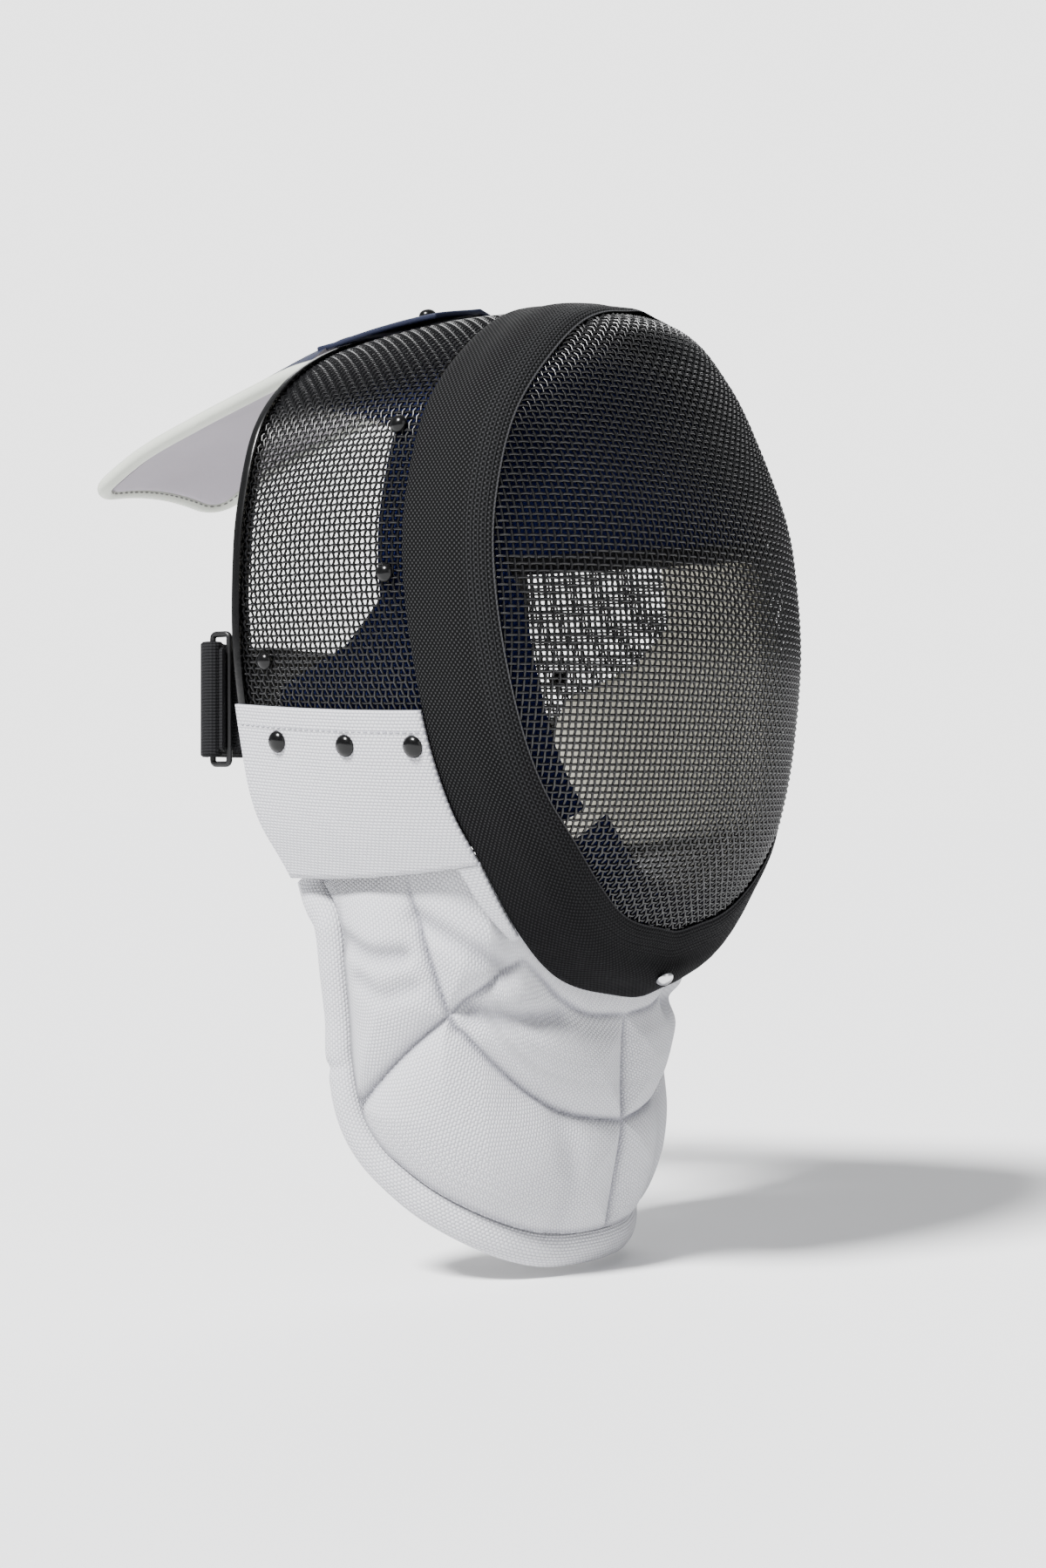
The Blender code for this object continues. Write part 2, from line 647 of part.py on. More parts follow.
def make_cheek_pads(shape):
    """Each runs down the rim from the brow to the jaw and back under the ear."""
    lift = -MESH_THICKNESS - PAD_STANDOFF
    first = int(math.ceil(shape.station_at(BROW_DOWN))) + 1
    stations = slice(first, UPPER_STATIONS + 1)
    count = UPPER_STATIONS + 1 - first
    rear = np.full(len(shape.rim), EAR_FRONT)
    lobe = np.interp(np.arange(count), (0, 1, 2, 3), (0.0, 0.3, 0.9, 1.0))
    rear[stations] += (shape.side_reach[stations] - PANEL_TURN_IN - PAD_SPACING - EAR_FRONT) * lobe
    rows = []
    for share in (0.0, 0.2, 0.4, 0.6, 0.8, 1.0):
        reach = -LINER_FRONT_REACH + (rear + LINER_FRONT_REACH) * share
        row = shape.row(reach, lift)[stations]
        row[-1] = (row[-1] + row[-2]) / 2
        rows.append(row)
    pad("cheek_pad_right", rows, "cheek_pad_left")


def make_chin_pad(shape):
    lift = -MESH_THICKNESS - CHIN_PAD_STANDOFF
    first = UPPER_STATIONS + 1
    stations = slice(first, 2 * STATIONS - first + 1)
    rows = []
    for share in np.linspace(0.0, 1.0, 5):
        rows.append(shape.row(-CHIN_PAD_FRONT + (CHIN_PAD_FRONT + CHIN_PAD_REAR) * share, lift)[stations])
    pad("chin_pad", rows, thickness=CHIN_PAD_THICKNESS)


def make_crown_pad(shape):
    """The lining under the crown, with an arm down each side ahead of the ear."""
    lift = -MESH_THICKNESS - PAD_STANDOFF
    top = int(round(shape.station_at(EAR_TOP_DOWN)))
    low = int(math.floor(shape.station_at(BROW_DOWN)))
    rear = np.full(len(shape.rim), EAR_FRONT)
    wide = np.zeros(len(shape.rim))
    wide[:top + 1] = 1.0
    wide[-top:] = 1.0
    rear += (shape.side_reach - PANEL_TURN_IN - EAR_FRONT) * wide
    front = TRIM_WIDTH / 2 + PAD_SPACING / 2
    rows = []
    for share in (0.0, 0.25, 0.5, 0.75, 1.0):
        row = shape.row(front + (rear - front) * share, lift)
        rows.append(np.vstack([row[-low:], row[:low + 1]]))
    pad("crown_pad", rows)


def make_forehead_pad(shape):
    """A curtain from under the trim down to the brow."""
    lift = -MESH_THICKNESS - PAD_STANDOFF
    low = int(math.floor(shape.station_at(BROW_DOWN)))
    index = np.concatenate([np.arange(-low, 0), np.arange(0, low + 1)])
    back = shape.row(TRIM_WIDTH / 2 - PAD_SPACING / 2, lift)[index]
    front = shape.row(-TRIM_WIDTH / 2 * 0.8, lift)[index]
    turn = np.linspace(1.0, -1.0, len(index)) * math.pi / 2
    half = abs(front[0, 0]) - 2 * CLEARANCE
    brow = np.stack([half * np.sin(turn), front[0, 1] - BROW_DEPTH * np.cos(turn),
                     RIM_ABOVE_SEAT - BROW_DOWN + np.sin(turn) * BROW_TILT / 2], axis=1)
    rows = []
    for share in (0.0, 0.12, 0.25, 0.4, 0.6, 0.8, 1.0):
        rows.append(back * (1 - share) ** 2 + front * 2 * share * (1 - share) + brow * share ** 2)
    pad("forehead_pad", rows)


class Tongue:
    """The tongue's middle face. A place on it is a length along it and a distance across."""

    def __init__(self, shape):
        table = smooth_rows(TONGUE_LINE, 3)
        rear = shape.row(shape.side_reach)[0]
        lift = BINDING_WALL + 2 * CLEARANCE + STRIP_THICKNESS - TONGUE_THICKNESS / 2
        y = rear[1] + CLEARANCE + BINDING_WALL + TONGUE_GAP + table[:, 0] * TONGUE_LENGTH
        z = rear[2] + lift - table[:, 1] * TONGUE_DROP
        self.middle = np.stack([0 * y, y, z], axis=1)
        self.sags = table[:, 2] * TONGUE_WIDTH
        self.lengths = arc_lengths(self.middle)
        self.headings = unit(np.gradient(self.middle, axis=0))

    def point(self, along, across, lift=0.0):
        middle = column_interp(along, self.lengths, self.middle)
        heading = column_interp(along, self.lengths, self.headings)
        half = TONGUE_WIDTH / 2
        sag = np.interp(along, self.lengths, self.sags)
        slope = 2 * sag * across / half ** 2
        normal = unit(np.array([slope * heading[1], -heading[2], heading[1]]))
        return middle + np.array([across, 0.0, -sag * (across / half) ** 2]) + normal * lift

    def outline(self, inset, corner_points):
        """Lengths along and half widths of the outline this far inside the tongue's edge."""
        radius = TONGUE_CORNER - inset
        stop = self.lengths[-1] - inset
        straight = self.lengths[self.lengths < stop - radius - TONGUE_ROLL]
        turn = np.linspace(0.0, math.pi / 2, corner_points)
        along = np.concatenate([straight, stop - radius + radius * np.sin(turn)])
        half = np.full(len(along), TONGUE_WIDTH / 2 - inset)
        half[-len(turn):] -= radius * (1.0 - np.cos(turn))
        return along, half


def make_tongue(shape):
    tongue = Tongue(shape)
    rows = []
    for along, half in zip(*tongue.outline(TONGUE_ROLL + TONGUE_SEAM, 3)):
        rows.append([tongue.point(along, x, TONGUE_THICKNESS / 2) for x in np.linspace(-half, half, 7)])
    mesh = lofted_mesh("tongue_pad", [np.array(rows)], outward_from=(0.0, 0.0, -RIM_HEIGHT))
    add_wall(new_object("tongue_pad", mesh, "tongue_lining"), TONGUE_THICKNESS, False)
    along, half = tongue.outline(TONGUE_ROLL / 2, 5)
    right = list(zip(along, -half))
    end = [(along[-1], x) for x in np.linspace(-half[-1], half[-1], 5)[1:-1]]
    left = list(zip(along, half))[::-1]
    route = np.array([tongue.point(*place) for place in right + end + left])
    lifted = np.array([tongue.point(*place, TONGUE_ROLL) for place in right + end + left])
    side = unit(np.cross(np.gradient(route, axis=0), lifted - route))
    up = unit(np.cross(side, np.gradient(route, axis=0)))
    swept("tongue_binding", octagon(TONGUE_ROLL, TONGUE_ROLL), route, side, up, "vinyl_cream")


def make_tongue_strap(shape):
    """The spring strip over the crown, from ahead of its rivets to the root of the tongue."""
    span = 4
    base = CLEARANCE + BINDING_WALL + CLEARANCE
    rows = []
    for share in np.linspace(0.0, 1.0, 6):
        low = shape.row(shape.side_reach - STRIP_REACH * (1 - share), base)
        row = np.array([[x, np.interp(abs(x), np.abs(low[:span + 1, 0]), low[:span + 1, 1]),
                         np.interp(abs(x), np.abs(low[:span + 1, 0]), low[:span + 1, 2])]
                        for x in np.linspace(-STRIP_WIDTH / 2, STRIP_WIDTH / 2, 2 * span + 1)])
        rows.append(row)
    rows.append(rows[-1] + np.array([0.0, BINDING_WALL + TONGUE_GAP, 0.0]))
    mesh = lofted_mesh("tongue_strap", [np.array(rows)], outward_from=(0.0, 0.0, -RIM_HEIGHT))
    add_wall(new_object("tongue_strap", mesh, "tongue_navy"), STRIP_THICKNESS, True)


def make_rivet(name, point, normal, width, finish_name):
    """A domed head on its seat."""
    profile = bpy.data.meshes.new(name)
    working = bmesh.new()
    bmesh.ops.create_uvsphere(working, u_segments=8, v_segments=6, radius=width / 2)
    below = [vertex for vertex in working.verts if vertex.co.z < -1e-6]
    bmesh.ops.delete(working, geom=below, context="VERTS")
    rim_edges = [edge for edge in working.edges if edge.is_boundary]
    bmesh.ops.contextual_create(working, geom=rim_edges)
    bmesh.ops.recalc_face_normals(working, faces=working.faces)
    for vertex in working.verts:
        vertex.co.z *= RIVET_HEIGHT / (width / 2)
    working.to_mesh(profile)
    working.free()
    piece = new_object(name, profile, finish_name)
    piece.rotation_euler = Vector(normal).to_track_quat("Z", "Y").to_euler()
    piece.location = Vector(point)


mask_collection = bpy.data.collections.new("fencing_mask")


def make_rivets(shape):
    liner_places = [(down * RIM_HEIGHT, reach * SHELL_DEPTH) for down, reach in LINER_RIVETS]
    liner_places.append((PANEL_TOP_DOWN - REAR_RIVET_ABOVE_PANEL, REAR_RIVET_REACH * SHELL_DEPTH))
    panel_places = [(PANEL_TOP_DOWN + PANEL_RIVET_INSET, reach * SHELL_DEPTH) for reach in PANEL_RIVETS]
    sets = (("liner_rivet", liner_places, CLEARANCE, RIVET_WIDTH),
            ("panel_rivet", panel_places, 2 * CLEARANCE + PANEL_THICKNESS, PANEL_RIVET_WIDTH))
    for label, places, lift, width in sets:
        for number, (down, reach) in enumerate(places, start=1):
            point, normal = shape.seat(shape.station_at(down), reach, lift)
            make_rivet(f"{label}_right_{number}", point, normal, width, "rivet_black")
            other = point * (-1.0, 1.0, 1.0)
            make_rivet(f"{label}_left_{number}", other, normal * (-1.0, 1.0, 1.0), width, "rivet_black")
    point, normal = shape.seat(STATIONS - 0.45, 0.0, 2 * CLEARANCE + TRIM_THICKNESS)
    make_rivet("chin_rivet", point, normal, RIVET_WIDTH, "rivet_bright")


def make_crown_rivets(shape):
    """Two rivets hold the front of the spring strip to the crown."""
    lift = 3 * CLEARANCE + BINDING_WALL + STRIP_THICKNESS
    row = shape.row(shape.side_reach - CROWN_RIVET_REACH, lift)
    x = CROWN_RIVET_SPACING / 2
    y = np.interp(x, row[-1:-4:-1, 0], row[-1:-4:-1, 1])
    z = np.interp(x, row[-1:-4:-1, 0], row[-1:-4:-1, 2])
    tilt = np.array([(row[0, 2] - row[-2, 2]) / row[-2, 0], 0.0, 1.0])
    for side, name in ((-1.0, "crown_rivet_right"), (1.0, "crown_rivet_left")):
        point = np.array([x * side, y, z])
        make_rivet(name, point, tilt * (side, 1.0, 1.0), RIVET_WIDTH, "rivet_black")


def strap_anchor(shape):
    """Where the loops stand: the level, half the distance between them and the rear edge there."""
    station = shape.station_at(STRAP_DROP)
    edge, _ = shape.seat(station, float(shape.side_reach[int(station)]) - EDGE_STEP, 0.0)
    return RIM_ABOVE_SEAT - STRAP_DROP, abs(edge[0]) - LOOP_INSET, edge[1] + EDGE_STEP + LOOP_OFFSET


def ribbon(name, route, width, thickness, level, finish_name):
    """A strip on edge, following a level route of x and y."""
    origins = np.column_stack([route, np.full(len(route), level)])
    ahead = unit(np.gradient(origins, axis=0))
    up = np.zeros_like(origins) + (0.0, 0.0, 1.0)
    across = unit(np.cross(ahead, up))
    t, w = thickness / 2, width / 2
    profile = np.array([(-t, -w), (t, -w), (t, w), (-t, w)])
    return swept(name, profile, origins, across, up, finish_name)


def make_back_strap(shape):
    """Elastic round the back of the head, through a tall loop on each side and folded back on itself."""
    level, half, bar_y = strap_anchor(shape)
    turn_radius = LOOP_BAR * math.sqrt(0.5) + CLEARANCE + STRAP_THICKNESS / 2

    def oval(angle, extra):
        return np.stack([-(half + extra) * np.cos(angle), bar_y + (STRAP_BULGE + extra) * np.sin(angle)], axis=1)

    tail = oval(np.linspace(0.50, 0.0, 6), turn_radius)
    wrap_angle = np.linspace(0.0, math.pi, 7)[1:-1]
    wrap = np.stack([-half - turn_radius * np.cos(wrap_angle), bar_y - turn_radius * np.sin(wrap_angle)], axis=1)
    around = oval(np.linspace(0.0, math.pi / 2, 13), -turn_radius)
    right = np.vstack([tail, wrap, around])
    route = np.vstack([right, right[-2::-1] * (-1.0, 1.0)])
    ribbon("back_strap", route, STRAP_WIDTH, STRAP_THICKNESS, level, "elastic_black")


def make_strap_loops(shape):
    level, half, bar_y = strap_anchor(shape)
    tall = (LOOP_HEIGHT - LOOP_BAR) / 2
    long = LOOP_LENGTH - LOOP_BAR
    corners = ((0.0, -tall), (0.0, tall), (-long, tall), (-long, -tall), (0.0, -tall))
    turn_radius = LOOP_BAR * math.sqrt(0.5) + CLEARANCE + TAB_THICKNESS / 2
    for side, label in ((-1.0, "right"), (1.0, "left")):
        rings = []
        for index, (y, z) in enumerate(corners):
            outward = np.array([0.0, 1.0 if y == 0.0 else -1.0, 1.0 if z > 0 else -1.0])
            centre = np.array([side * half, bar_y + y, level + z])
            b = LOOP_BAR / 2
            rings.append([centre + outward * s + np.array([x, 0.0, 0.0])
                          for x, s in ((-b, -b), (b, -b), (b, b), (-b, b))])
        mesh = lofted_mesh(f"strap_loop_{label}", [np.array(rings)], wrap_columns=True)
        new_object(f"strap_loop_{label}", mesh, "plastic_black")
        wrap_angle = np.linspace(0.0, math.pi, 7)
        front_bar = bar_y - long
        start = half - turn_radius - TAB_INSET
        edge_y = bar_y - LOOP_OFFSET
        inner = [(start, edge_y - TAB_REACH), (start, edge_y + TAB_INSET)]
        wrap = [(half - turn_radius * math.cos(a), front_bar + turn_radius * math.sin(a)) for a in wrap_angle]
        route = np.array(inner + wrap) * (side, 1.0)
        ribbon(f"strap_tab_{label}", route, TAB_WIDTH, TAB_THICKNESS, level, "elastic_black")


def main():
    clear_scene()
    bpy.context.scene.collection.children.link(mask_collection)
    shape = Shape()
    bib = Bib()
    make_front_mesh(shape)
    make_side_mesh(shape)
    make_trim_band(shape)
    make_rear_binding(shape)
    make_side_panels(shape)
    grid = make_bib(shape, bib)
    make_bib_hem(grid)
    make_cheek_pads(shape)
    make_chin_pad(shape)
    make_crown_pad(shape)
    make_forehead_pad(shape)
    make_tongue(shape)
    make_tongue_strap(shape)
    make_rivets(shape)
    make_crown_rivets(shape)
    make_back_strap(shape)
    make_strap_loops(shape)


main()
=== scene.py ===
# %% [markdown]
# # Dressing a fencing mask
# The plain model already has every piece of the mask at its real size and place. This lesson gives
# those pieces the look of the real thing: woven wire, elastic webbing, quilted cloth and soft padding.
# The first cell loads the plain model. Everything after it is made in the same place, in metres,
# with +Z up and the mask facing -Y.

# %% Load the plain model
import math

import bmesh
import bpy
import numpy as np
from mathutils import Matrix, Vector


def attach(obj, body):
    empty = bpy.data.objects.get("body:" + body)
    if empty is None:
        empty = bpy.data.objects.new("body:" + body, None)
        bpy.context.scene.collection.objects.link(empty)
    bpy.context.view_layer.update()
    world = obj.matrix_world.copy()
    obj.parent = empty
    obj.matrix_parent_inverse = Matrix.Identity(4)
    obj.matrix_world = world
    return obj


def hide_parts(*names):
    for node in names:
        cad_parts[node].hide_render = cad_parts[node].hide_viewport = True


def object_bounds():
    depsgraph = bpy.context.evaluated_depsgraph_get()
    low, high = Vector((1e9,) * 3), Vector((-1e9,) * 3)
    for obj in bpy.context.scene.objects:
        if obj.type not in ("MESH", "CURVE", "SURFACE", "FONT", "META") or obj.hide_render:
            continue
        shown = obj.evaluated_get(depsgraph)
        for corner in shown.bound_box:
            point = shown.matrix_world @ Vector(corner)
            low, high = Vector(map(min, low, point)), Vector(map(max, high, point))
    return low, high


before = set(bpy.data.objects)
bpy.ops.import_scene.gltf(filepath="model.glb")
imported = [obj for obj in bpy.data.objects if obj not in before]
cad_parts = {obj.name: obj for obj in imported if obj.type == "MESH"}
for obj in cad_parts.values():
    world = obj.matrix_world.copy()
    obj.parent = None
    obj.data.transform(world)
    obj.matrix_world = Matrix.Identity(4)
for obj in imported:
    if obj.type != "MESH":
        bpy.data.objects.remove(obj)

cad_low, cad_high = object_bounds()
print("the plain model measures", [round(value, 3) for value in cad_high - cad_low])

# %% [markdown]
# ## Sizes
# A maker's drawing comes before the cloth. These are the same sizes that the plain model was drawn
# with, so that each dressed piece lands on the piece that it covers.

# %% Sizes of the mask
RIM_HEIGHT = 0.262
FACE_WIDTH = 0.208
RIM_ABOVE_SEAT = 0.015
RIM_AHEAD_OF_SEAT = 0.045
CHIN_FORWARD = 0.034
BOWL_DEPTH = 0.067
SHELL_DEPTH = 0.110
SIDE_BULGE = 0.004
MESH_THICKNESS = 0.002
CLEARANCE = 0.0004
FACE_STEP = 0.002
EDGE_STEP = 0.006
TRIM_WIDTH = 0.038
TRIM_THICKNESS = 0.0018
PANEL_THICKNESS = 0.0022
PANEL_TURN_IN = 0.012
PANEL_TOP_DOWN = 0.160
print("rim", RIM_HEIGHT, "m tall and", FACE_WIDTH, "m wide")

# %% [markdown]
# The rim is where bowl and side meet, and most pieces take their place from it. Thirteen rows of shares
# from crown to chin are enough, because a curve is drawn through them, and a share stays right when a
# size above changes.

# %% The line of the rim
# One row for each station from crown to chin. The numbers are shares of the sizes above.
RIM = (
    # down, half, ahead, bowl, edge_down, edge_half, edge_back
    (0.000, 0.000, 0.00, 0.00, 0.008, 0.000, 1.000),
    (0.030, 0.400, 0.05, 0.41, 0.046, 0.330, 0.995),
    (0.099, 0.690, 0.09, 0.56, 0.105, 0.600, 0.985),
    (0.191, 0.885, 0.04, 0.72, 0.185, 0.790, 0.975),
    (0.305, 0.970, 0.00, 0.93, 0.297, 0.885, 0.970),
    (0.401, 1.000, 0.02, 0.99, 0.395, 0.920, 0.965),
    (0.523, 1.000, 0.14, 0.95, 0.515, 0.930, 0.955),
    (0.653, 0.960, 0.31, 0.80, 0.637, 0.915, 0.925),
    (0.744, 0.880, 0.45, 0.67, 0.752, 0.885, 0.875),
    (0.809, 0.790, 0.60, 0.50, 0.848, 0.805, 0.780),
    (0.905, 0.605, 0.71, 0.21, 1.038, 0.600, 0.660),
    (0.969, 0.370, 0.77, 0.06, 1.107, 0.370, 0.640),
    (1.000, 0.000, 0.94, 0.00, 1.140, 0.000, 0.590),
)
CORNER_ROW = 9
BOWL_CENTRE_DOWN = 0.49
FINE = 12
UPPER = 17 * FINE
LOWER = 7 * FINE
print("stations on each side:", UPPER + LOWER)

# %% [markdown]
# ## The camera
# The camera stands a metre to the right and in front of the wearer, level with the middle of the
# mask, and its lens makes a millimetre of the mask about three pixels of a tall picture.

# %% Place the camera
CAMERA_TURN = math.radians(-57)
toward_camera = Vector((math.sin(CAMERA_TURN), -math.cos(CAMERA_TURN), 0.0))
camera_data = bpy.data.cameras.new("camera")
camera_data.lens = 58.0
camera_data.sensor_width = 36.0
camera_data.shift_x = -0.05
camera = bpy.data.objects.new("camera", camera_data)
bpy.context.scene.collection.objects.link(camera)
camera.location = Vector((0.0, -0.045, -0.172)) + toward_camera
camera.rotation_mode = "QUATERNION"
camera.rotation_quaternion = (-toward_camera).to_track_quat("-Z", "Y")
bpy.context.scene.camera = camera
print("camera at", [round(value, 3) for value in camera.location])

# %% [markdown]
# ## Finishes
# A finish is a Principled shader with a few nodes before it. Writing nodes one at a time hides the
# sums that they do, so two small classes let a finish be written as sums: Amount holds a socket and
# knows how to add and multiply, and Finish makes any other node with one method.

# %% A socket that can be used in sums
class Amount:
    def __init__(self, finish, socket):
        self.finish = finish
        self.socket = socket

    def join(self, operation, *values):
        inputs = dict(enumerate(values))
        return Amount(self.finish, self.finish.node("ShaderNodeMath", {"operation": operation}, inputs)[0])

    def __add__(self, other):
        return self.join("ADD", self, other)

    def __radd__(self, other):
        return self.join("ADD", other, self)

    def __sub__(self, other):
        return self.join("SUBTRACT", self, other)

    def __rsub__(self, other):
        return self.join("SUBTRACT", other, self)

    def __mul__(self, other):
        return self.join("MULTIPLY", self, other)

    def __rmul__(self, other):
        return self.join("MULTIPLY", other, self)

    def sine(self):
        return self.join("SINE", self)

    def size(self):
        return self.join("ABSOLUTE", self)

    def whole(self):
        return self.join("FLOOR", self)

    def remainder(self, other):
        return self.join("FLOORED_MODULO", self, other)

    def ramp(self, start, stop):
        """0 at start and before it, 1 at stop and after it."""
        inputs = {"Value": self, "From Min": start, "From Max": stop}
        return Amount(self.finish, self.finish.node("ShaderNodeMapRange", {"clamp": True}, inputs)[0])


# %% [markdown]
# A finish starts as one colour. Each call of tint, rough or bump adds nodes before the shader, so the
# recipe of a material reads from the plain base to its last mark.

# %% A finish and its nodes
class Finish:
    def __init__(self, name, colour, roughness, metallic=0.0, gloss=0.5, coat=0.0):
        self.material = bpy.data.materials.new(name)
        self.material.use_nodes = True
        self.tree = self.material.node_tree
        self.shader = self.tree.nodes["Principled BSDF"]
        self.colour = colour
        self.shader.inputs["Base Color"].default_value = (*colour, 1.0)
        self.shader.inputs["Roughness"].default_value = roughness
        self.shader.inputs["Metallic"].default_value = metallic
        self.shader.inputs["Specular IOR Level"].default_value = gloss
        self.shader.inputs["Coat Weight"].default_value = coat
        print("finish", name)

    def node(self, kind, settings, inputs):
        node = self.tree.nodes.new(kind)
        for name, value in settings.items():
            setattr(node, name, value)
        for name, value in inputs.items():
            if isinstance(value, Amount):
                value = value.socket
            if isinstance(value, bpy.types.NodeSocket):
                self.tree.links.new(value, node.inputs[name])
            else:
                node.inputs[name].default_value = value
        return node.outputs

    def place(self):
        return self.node("ShaderNodeTexCoord", {}, {})["Object"]

    def along(self):
        """The two lengths of the piece's own map, in metres: along its rows and across them."""
        spread = self.node("ShaderNodeUVMap", {"uv_map": "cut"}, {})["UV"]
        parts = self.node("ShaderNodeSeparateXYZ", {}, {"Vector": spread})
        return Amount(self, parts["X"]), Amount(self, parts["Y"])

    def height(self):
        parts = self.node("ShaderNodeSeparateXYZ", {}, {"Vector": self.place()})
        return Amount(self, parts["Z"])

    def noise(self, scale, detail=2.0, vector=None):
        inputs = {"Vector": vector or self.place(), "Scale": scale, "Detail": detail}
        return Amount(self, self.node("ShaderNodeTexNoise", {}, inputs)[0])

    def tint(self, amount, other):
        """Turns the base colour towards another one by an amount."""
        settings = {"data_type": "RGBA"}
        before = self.shader.inputs["Base Color"]
        first = before.links[0].from_socket if before.is_linked else (*self.colour, 1.0)
        mixed = self.node("ShaderNodeMix", settings, {0: amount, 6: first, 7: (*other, 1.0)})
        self.tree.links.new(mixed[2], before)

    def rough(self, amount):
        self.tree.links.new(amount.socket, self.shader.inputs["Roughness"])

    def bump(self, height, depth, strength=1.0):
        inputs = {"Height": height, "Distance": depth, "Strength": strength}
        before = self.shader.inputs["Normal"]
        if before.is_linked:
            inputs["Normal"] = before.links[0].from_socket
        self.tree.links.new(self.node("ShaderNodeBump", {}, inputs)[0], before)


# %% [markdown]
# ## Cloth finishes
# White mask cloth has a fine grain like grains of rice set in brick rows, one to two millimetres each.
# The grain is a product of two sines, with each other row shifted by half a grain. The bump reads it, and a
# tint paints shade into the gaps between grains, where little light gets in on the real cloth.

# %% White cloth with a rice grain
GRAIN_LENGTH = 0.0018
GRAIN_WIDTH = 0.0013


def rice_grain(finish, depth):
    along, across = finish.along()
    row = across * (1.0 / GRAIN_WIDTH)
    shift = row.whole().remainder(2.0) * 0.5
    column = along * (1.0 / GRAIN_LENGTH) + shift
    grain = (column * math.pi).sine().size() * (row * math.pi).sine().size()
    # Painted shade: the tint darkens the gaps between grains.
    finish.tint(1.0 - grain.ramp(0.0, 0.45), (0.30, 0.30, 0.335))
    finish.bump(grain, depth, 0.8)


white_cloth = Finish("white grain cloth", (0.57, 0.57, 0.59), 0.9, gloss=0.2)
rice_grain(white_cloth, 0.0004)
white_cloth.tint(white_cloth.noise(14.0, 3.0).ramp(0.35, 0.75) * 0.35, (0.54, 0.545, 0.575))
# Painted shade: the seam attribute darkens the bib's seam grooves, its folds and a band along its hem.
painted_shade = white_cloth.node("ShaderNodeAttribute", {"attribute_name": "seam"}, {})["Fac"]
white_cloth.tint(Amount(white_cloth, painted_shade) * 0.75, (0.16, 0.16, 0.19))
white_cloth.bump(white_cloth.noise(260.0, 3.0), 0.00035, 0.5)

# %% [markdown]
# Elastic webbing is woven in ribs that run its whole length, crossed by a fine weft. On the trim the
# ribs are stronger and paler in the front quarter, its front edge has a pale woven selvedge, and
# the whole band goes nearly black towards the chin.

# %% Elastic webbing
trim_elastic = Finish("charcoal webbing", (0.0018, 0.0018, 0.002), 0.75, gloss=0.06)
trim_along, trim_across = trim_elastic.along()
trim_weave = (trim_along * (math.tau / 0.0020)).sine() * (trim_across * (math.tau / 0.0018)).sine()
front_quarter = 1.0 - trim_across.ramp(0.25 * TRIM_WIDTH, 0.33 * TRIM_WIDTH)
trim_ribs = (trim_across * (math.tau / 0.0014)).sine()
trim_elastic.tint(trim_weave.ramp(0.1, 0.8) * 0.9, (0.032, 0.0324, 0.0335))
trim_elastic.tint((trim_ribs.ramp(0.0, 1.0) * front_quarter) * 0.4, (0.026, 0.0262, 0.028))
selvedge = 1.0 - trim_across.ramp(0.0003, 0.0007)
trim_elastic.tint(selvedge * 0.5, (0.09, 0.09, 0.095))
trim_elastic.tint((1.0 - trim_elastic.height().ramp(-0.24, -0.14)) * 0.7, (0.003, 0.003, 0.0035))
trim_elastic.bump(trim_weave * 0.5 + trim_ribs * front_quarter * 0.6, 0.0003, 0.9)

strap_elastic = Finish("black webbing", (0.0045, 0.0045, 0.005), 0.75, gloss=0.1)
strap_along, strap_across = strap_elastic.along()
strap_ribs = (strap_across * (math.tau / 0.0024)).sine().size()
strap_elastic.bump(strap_ribs + (strap_along * (math.tau / 0.0012)).sine() * 0.25, 0.0004, 0.8)
strap_elastic.tint(strap_ribs * 0.4, (0.020, 0.020, 0.022))

# %% [markdown]
# ## Linings, vinyl and metal
# The lining is a dark navy knit outside. The tongue has a smooth mauve-grey lining and an edge roll
# of off-white vinyl with a fine leather grain. The wires are painted black with a satin gloss, which
# gives each crossing its small bright dash.

# %% Linings and vinyl
lining_navy = Finish("navy knit", (0.0035, 0.0060, 0.042), 0.9, gloss=0.1)
knit_along, knit_across = lining_navy.along()
knit = (knit_along * (math.tau / 0.0016)).sine() * (knit_across * (math.tau / 0.0022)).sine()
lining_navy.bump(knit, 0.0003, 0.7)
lining_navy.tint(lining_navy.noise(60.0).ramp(0.4, 0.8) * 0.4, (0.005, 0.009, 0.058))

lining_cream = Finish("cream knit", (0.62, 0.60, 0.52), 0.9, gloss=0.2)
lining_cream.bump(lining_cream.noise(420.0, 3.0), 0.0006, 0.6)
lining_cream.tint(lining_cream.noise(30.0).ramp(0.35, 0.75) * 0.35, (0.54, 0.52, 0.45))

tongue_navy = Finish("navy strip cloth", (0.004, 0.007, 0.026), 0.62, gloss=0.3)
tongue_navy.bump(tongue_navy.noise(900.0, 2.0), 0.00015, 0.6)
tongue_navy.tint(tongue_navy.noise(50.0).ramp(0.4, 0.8) * 0.4, (0.007, 0.011, 0.036))

tongue_grey = Finish("mauve grey lining", (0.30, 0.275, 0.31), 0.72, gloss=0.3)
tongue_grey.bump(tongue_grey.noise(700.0, 2.0), 0.0002, 0.5)
tongue_grey.tint(tongue_grey.noise(40.0).ramp(0.35, 0.75) * 0.4, (0.25, 0.23, 0.26))

edge_vinyl = Finish("off-white vinyl", (0.50, 0.52, 0.46), 0.45, gloss=0.4)
edge_vinyl.bump(edge_vinyl.noise(650.0, 4.0), 0.0002, 0.6)
edge_vinyl.tint(edge_vinyl.noise(35.0).ramp(0.35, 0.75) * 0.4, (0.43, 0.455, 0.40))

dark_thread = Finish("grey thread", (0.16, 0.16, 0.155), 0.8, gloss=0.2)
dark_thread.bump(dark_thread.noise(3000.0), 0.00005, 0.5)

# %% [markdown]
# The hard pieces are nearly black, and only their highlights tell them apart: broad and soft on plastic,
# small and sharp on wire and rivets. A noise in the roughness breaks each highlight, as paint does.

